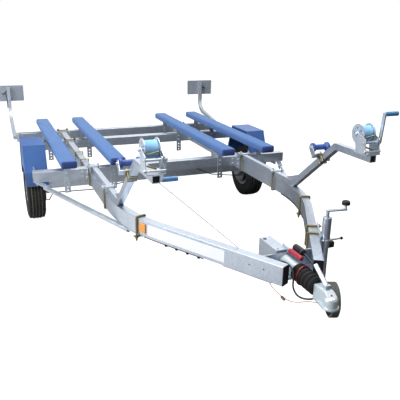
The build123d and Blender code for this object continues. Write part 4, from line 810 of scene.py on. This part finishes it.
webbing = surface("light blue webbing", woven_band(), (0.15, 0.42, 0.86), (0.42, 0.76, 1.0), (0.7, 0.9),
                  bump=0.5, sheen=0.2)
dress(webbing, "winch_strap_left", "winch_strap_right")
dress(bright_zinc, "winch_frames", "winch_drum_left", "winch_drum_right", "winch_crank_left",
      "winch_crank_right")
crank_blue = surface("moulded blue grip", skin, (0.06, 0.2, 0.46), (0.11, 0.3, 0.6), (0.35, 0.5))
dress(crank_blue, "crank_grip_left", "crank_grip_right")
pawl_bars = (
    ((-0.030, -2.276, 1.062), (0.028, -2.284, 1.076), 0.0045),
    ((-0.040, -2.302, 1.016), (0.006, -2.308, 1.000), 0.005),
)
winch_nut_spots = ((-0.053, -2.222, 1.076), (-0.0525, -2.310, 0.990))
form = bmesh.new()
winch_nuts = []
for side in (-1, 1):
    post_middle = Vector((side * post_x, 0, 0))
    for start, stop, radius in pawl_bars:
        rod(form, [post_middle + Vector(start), post_middle + Vector(stop)], radius)
    for spot in winch_nut_spots:
        winch_nuts.append((post_middle + Vector(spot), (-1, 0, 0)))
piece("winch_pawls", form, gold_zinc, "chassis")
scattered("winch_nuts", nut_tree, winch_nuts, bright_zinc, "chassis", "galvanised_steel",
          radius=0.011, height=0.008, stud_radius=0.006, stud_length=0.014)

# Coupling and overrun brake: plated pressed head with its lever tube, ribbed rubber bellows
# over the draw shaft, cast housing, and a handbrake with a red grip. A red tie lies round the
# bellows, small round marks sit on the head, and a brown clip holds the breakaway cable.
plated_head = surface("plated pressing", skin, (0.5, 0.59, 0.65), (0.7, 0.79, 0.85), (0.3, 0.4),
                      metallic=0.55, bump=0.0, edge=0.003, mottle_scale=5.0)
dress(plated_head, "coupling_head", "overrun_housing")
dress(bright_zinc, "coupling_lever", "brake_lever")
bellows_rubber = surface("bellows rubber", skin, (0.003, 0.003, 0.004), (0.01, 0.01, 0.011), (0.5, 0.7),
                         bump=0.3, specular=0.3)
dress(bellows_rubber, "bellows")
tie_centre = (0, -2.672, 0.507)
tie_slant = radians(16)
tie_ring, tie_radius = 0.0485, 0.0025
tie_place = (Matrix.Translation(tie_centre) @ Matrix.Rotation(tie_slant, 4, "Z")
             @ Matrix.Rotation(pi / 2, 4, "Z"))
tie_outline = [(tie_radius * cos(i * pi / 4), tie_ring + tie_radius * sin(i * pi / 4)) for i in range(8)]
form = bmesh.new()
lathe(form, tie_outline, 64, tie_place, closed=True)
tie_red = surface("red tie", skin, (0.3, 0.015, 0.015), (0.42, 0.03, 0.03), (0.35, 0.5))
piece("bellows_tie", form, tie_red, "chassis")
grip_red = surface("moulded red grip", skin, (0.26, 0.012, 0.03), (0.4, 0.03, 0.06), (0.3, 0.45))
dress(grip_red, "brake_grip")
mark_green = surface("green wear mark", skin, (0.01, 0.16, 0.06), (0.02, 0.26, 0.1), (0.35, 0.5))
mark_red = surface("red release mark", skin, (0.3, 0.01, 0.03), (0.42, 0.02, 0.05), (0.3, 0.45))
mark_white = surface("white mark ring", skin, (0.7, 0.72, 0.74), (0.8, 0.82, 0.84), (0.3, 0.45))
mark_sunk = -0.001
mark_top = Matrix.Translation((0, -2.868, 0.532)) @ Matrix.Rotation(-pi / 2, 4, "Y")
mark_slope = Vector((0, -0.519, 0.855)).to_track_quat("X", "Z").to_matrix().to_4x4()
mark_front = Matrix.Translation((0, -2.906, 0.5174)) @ mark_slope
for mark_name, mark_radius, mark_rise, mark_steps, mark_place, mark_paint in (
    ("wear_mark", 0.0055, 0.0008, 16, mark_top, mark_green),
    ("mark_ring", 0.0085, 0.0006, 20, mark_front, mark_white),
    ("mark_dot", 0.0055, 0.0012, 20, mark_front, mark_red),
):
    form = bmesh.new()
    lathe(form, ((mark_sunk, mark_radius), (mark_rise, mark_radius)), mark_steps, mark_place)
    piece(mark_name, form, mark_paint, "chassis")
clip_low, clip_high = (-0.093, -2.660, 0.380), (-0.081, -2.630, 0.392)
form = bmesh.new()
slab(form, clip_low, clip_high, soft=0.002)
clip_brown = surface("brown clip", skin, (0.16, 0.1, 0.07), (0.3, 0.2, 0.15), (0.4, 0.55), metallic=0.4)
piece("cable_clip", form, clip_brown, "chassis")

# Jockey wheel: plated telescopic leg in a bolted sleeve, crank with a mushroom knob, a clamp
# screw with a ball end, and a small ribbed rubber wheel in a plated fork. A black moulded block
# sits against the sleeve.
dress(galvanised, "jockey_clamp", "jockey_sleeve", "jockey_leg", "jack_crank")
dress(bright_zinc, "jockey_fork")
dress(black_moulding, "jack_knob", "jockey_hub")
jockey_hub = joint["jockey_spin"]["pos_m"]
jockey_way = Vector(joint["jockey_spin"]["axis"]).to_track_quat("X", "Z").to_matrix().to_4x4()
jockey_place = Matrix.Translation(jockey_hub) @ jockey_way
tyre_box = nodes["jockey_tyre"]
inward = min((jockey_place.inverted() @ tyre_box.matrix_world @ v.co).x for v in tyre_box.data.vertices)
jockey_half = 0.025
middle = inward + jockey_half
wall = ((-0.019, 0.0623), (-0.025, 0.072), (-0.025, 0.089), (0.025, 0.089), (0.025, 0.072),
        (0.019, 0.0623))
form = bmesh.new()
lathe(form, [(middle + along, radius) for along, radius in wall], 72, jockey_place, closed=True)
jockey_wall = piece("jockey_wall", form, road_rubber, "jockey_roller", Matrix())
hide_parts("jockey_tyre")
rib_acrosses = (-0.0165, -0.0055, 0.0055, 0.0165)
rib_outline = ((-0.0045, 0.0965), (-0.0035, 0.0998), (0.0035, 0.0998), (0.0045, 0.0965))
tread = [(-0.0245, 0.087), (-0.0245, 0.091)]
for across in rib_acrosses:
    for step, radius in rib_outline:
        tread.append((across + step, radius))
tread += [(0.0245, 0.091), (0.0245, 0.087)]
jockey_rubber = surface("grey jockey tread", skin, (0.1, 0.1, 0.092), (0.19, 0.19, 0.175), (0.6, 0.8),
                        bump=0.3)
form = bmesh.new()
lathe(form, [(middle + along, radius) for along, radius in tread], 72, jockey_place, closed=True)
piece("jockey_tread", form, jockey_rubber, "jockey_roller", Matrix())
block_low, block_high = (0.288, -2.474, 0.527), (0.315, -2.455, 0.560)
form = bmesh.new()
slab(form, block_low, block_high, soft=0.003)
piece("sleeve_block", form, black_moulding, "chassis")

# Lamp boards: plain grey sheet plates on the bent posts, with a moulded lamp on each rear face.
# Two red lenses and an amber one are clipped to its black base, and the wires leave in front.
board_grey = surface("grey lamp board", spangle, (0.2, 0.23, 0.28), (0.34, 0.38, 0.44), (0.4, 0.55),
                     metallic=0.3)
dress(board_grey, "lamp_boards")
lamp_red = surface("red lamp lens", skin, (0.3, 0.008, 0.008), (0.45, 0.02, 0.015), (0.12, 0.2), coat=0.5)
lamp_amber = surface("amber lamp lens", skin, (0.55, 0.17, 0.008), (0.75, 0.28, 0.015), (0.12, 0.2),
                     coat=0.5)
lamp_middle = 1.108
lamp_inner, lamp_outer = 0.993, 1.223
lamp_low, lamp_high = 0.838, 0.943
lens_front, lens_rear = 1.538, 1.579
base_half, base_front, base_rear = 0.1145, 1.533, 1.5395
red_spans = ((lamp_inner, lamp_inner + 0.072), (lamp_inner + 0.075, lamp_inner + 0.150))
amber_spans = ((lamp_inner + 0.153, lamp_outer),)


def lamp_blocks(spans):
    """Lens blocks on both lamps, between pairs of distances from the middle of the trailer."""
    form = bmesh.new()
    for side in (-1, 1):
        for span in spans:
            near, far = sorted(side * x for x in span)
            slab(form, (near, lens_front, lamp_low), (far, lens_rear, lamp_high), soft=0.006)
    return form


lamp_lens = piece("lamp_lenses", lamp_blocks(red_spans), lamp_red, "chassis")
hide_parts("tail_lamps")
piece("lamp_indicators", lamp_blocks(amber_spans), lamp_amber, "chassis")
form = bmesh.new()
for side in (-1, 1):
    slab(form, (side * lamp_middle - base_half, base_front, lamp_low),
         (side * lamp_middle + base_half, base_rear, lamp_high), soft=0.002)
piece("lamp_bases", form, black_moulding, "chassis")
wire_route = ((lamp_middle, 1.5265, 0.905), (1.118, 1.515, 0.900), (1.129, 1.510, 0.880),
              (1.129, 1.510, 0.740))
wire_hook = ((1.122, 1.522, 0.930), (1.130, 1.512, 0.914), (1.146, 1.508, 0.892), (1.162, 1.514, 0.884),
             (1.170, 1.526, 0.890))
form = bmesh.new()
for side in (-1, 1):
    for route, radius in ((wire_route, 0.005), (wire_hook, 0.006)):
        rod(form, [(side * x, y, z) for x, y, z in route], radius)
piece("lamp_wires", form, black_sheath, "chassis")

# Wiring clips and rail loom: small black mouldings snapped on the right arm's lower edge, where
# they hold the wiring, and a sheathed loom laid under the inner edge of the left rail's bend.
clip_alongs = (0.52, 0.60, 0.68, 0.76)
clip_out, clip_half = 0.020, 0.008
clip_bottom, clip_top = 0.4545, 0.4668
loom_inset, loom_z, loom_radius = 0.024, 0.4665, 0.006
loom_turns = [radians(2 + 2.0 * step) for step in range(13)]
form = bmesh.new()
for along in clip_alongs:
    x, y = on_arm(along, clip_out)
    slab(form, (-x - clip_half, y - clip_half, clip_bottom), (-x + clip_half, y + clip_half, clip_top),
         soft=0.002)
piece("loom_clips", form, black_moulding, "chassis")
form = bmesh.new()
rod(form, [(*on_bend(bend_radius - loom_inset, turn), loom_z) for turn in loom_turns], loom_radius)
piece("rail_loom", form, black_sheath, "chassis")

# Side panels and reflectors: a blank white self-adhesive panel and a moulded amber reflector,
# stuck to the outer face of each drawbar arm.
panel_white = surface("blank white panel", skin, (0.72, 0.74, 0.77), (0.82, 0.84, 0.87), (0.3, 0.4),
                      bump=0.05)
dress(panel_white, "side_panels")
amber_lens = surface("amber reflector", skin, (0.62, 0.2, 0.01), (0.8, 0.32, 0.02), (0.15, 0.25), coat=0.5)
dress(amber_lens, "side_reflectors")
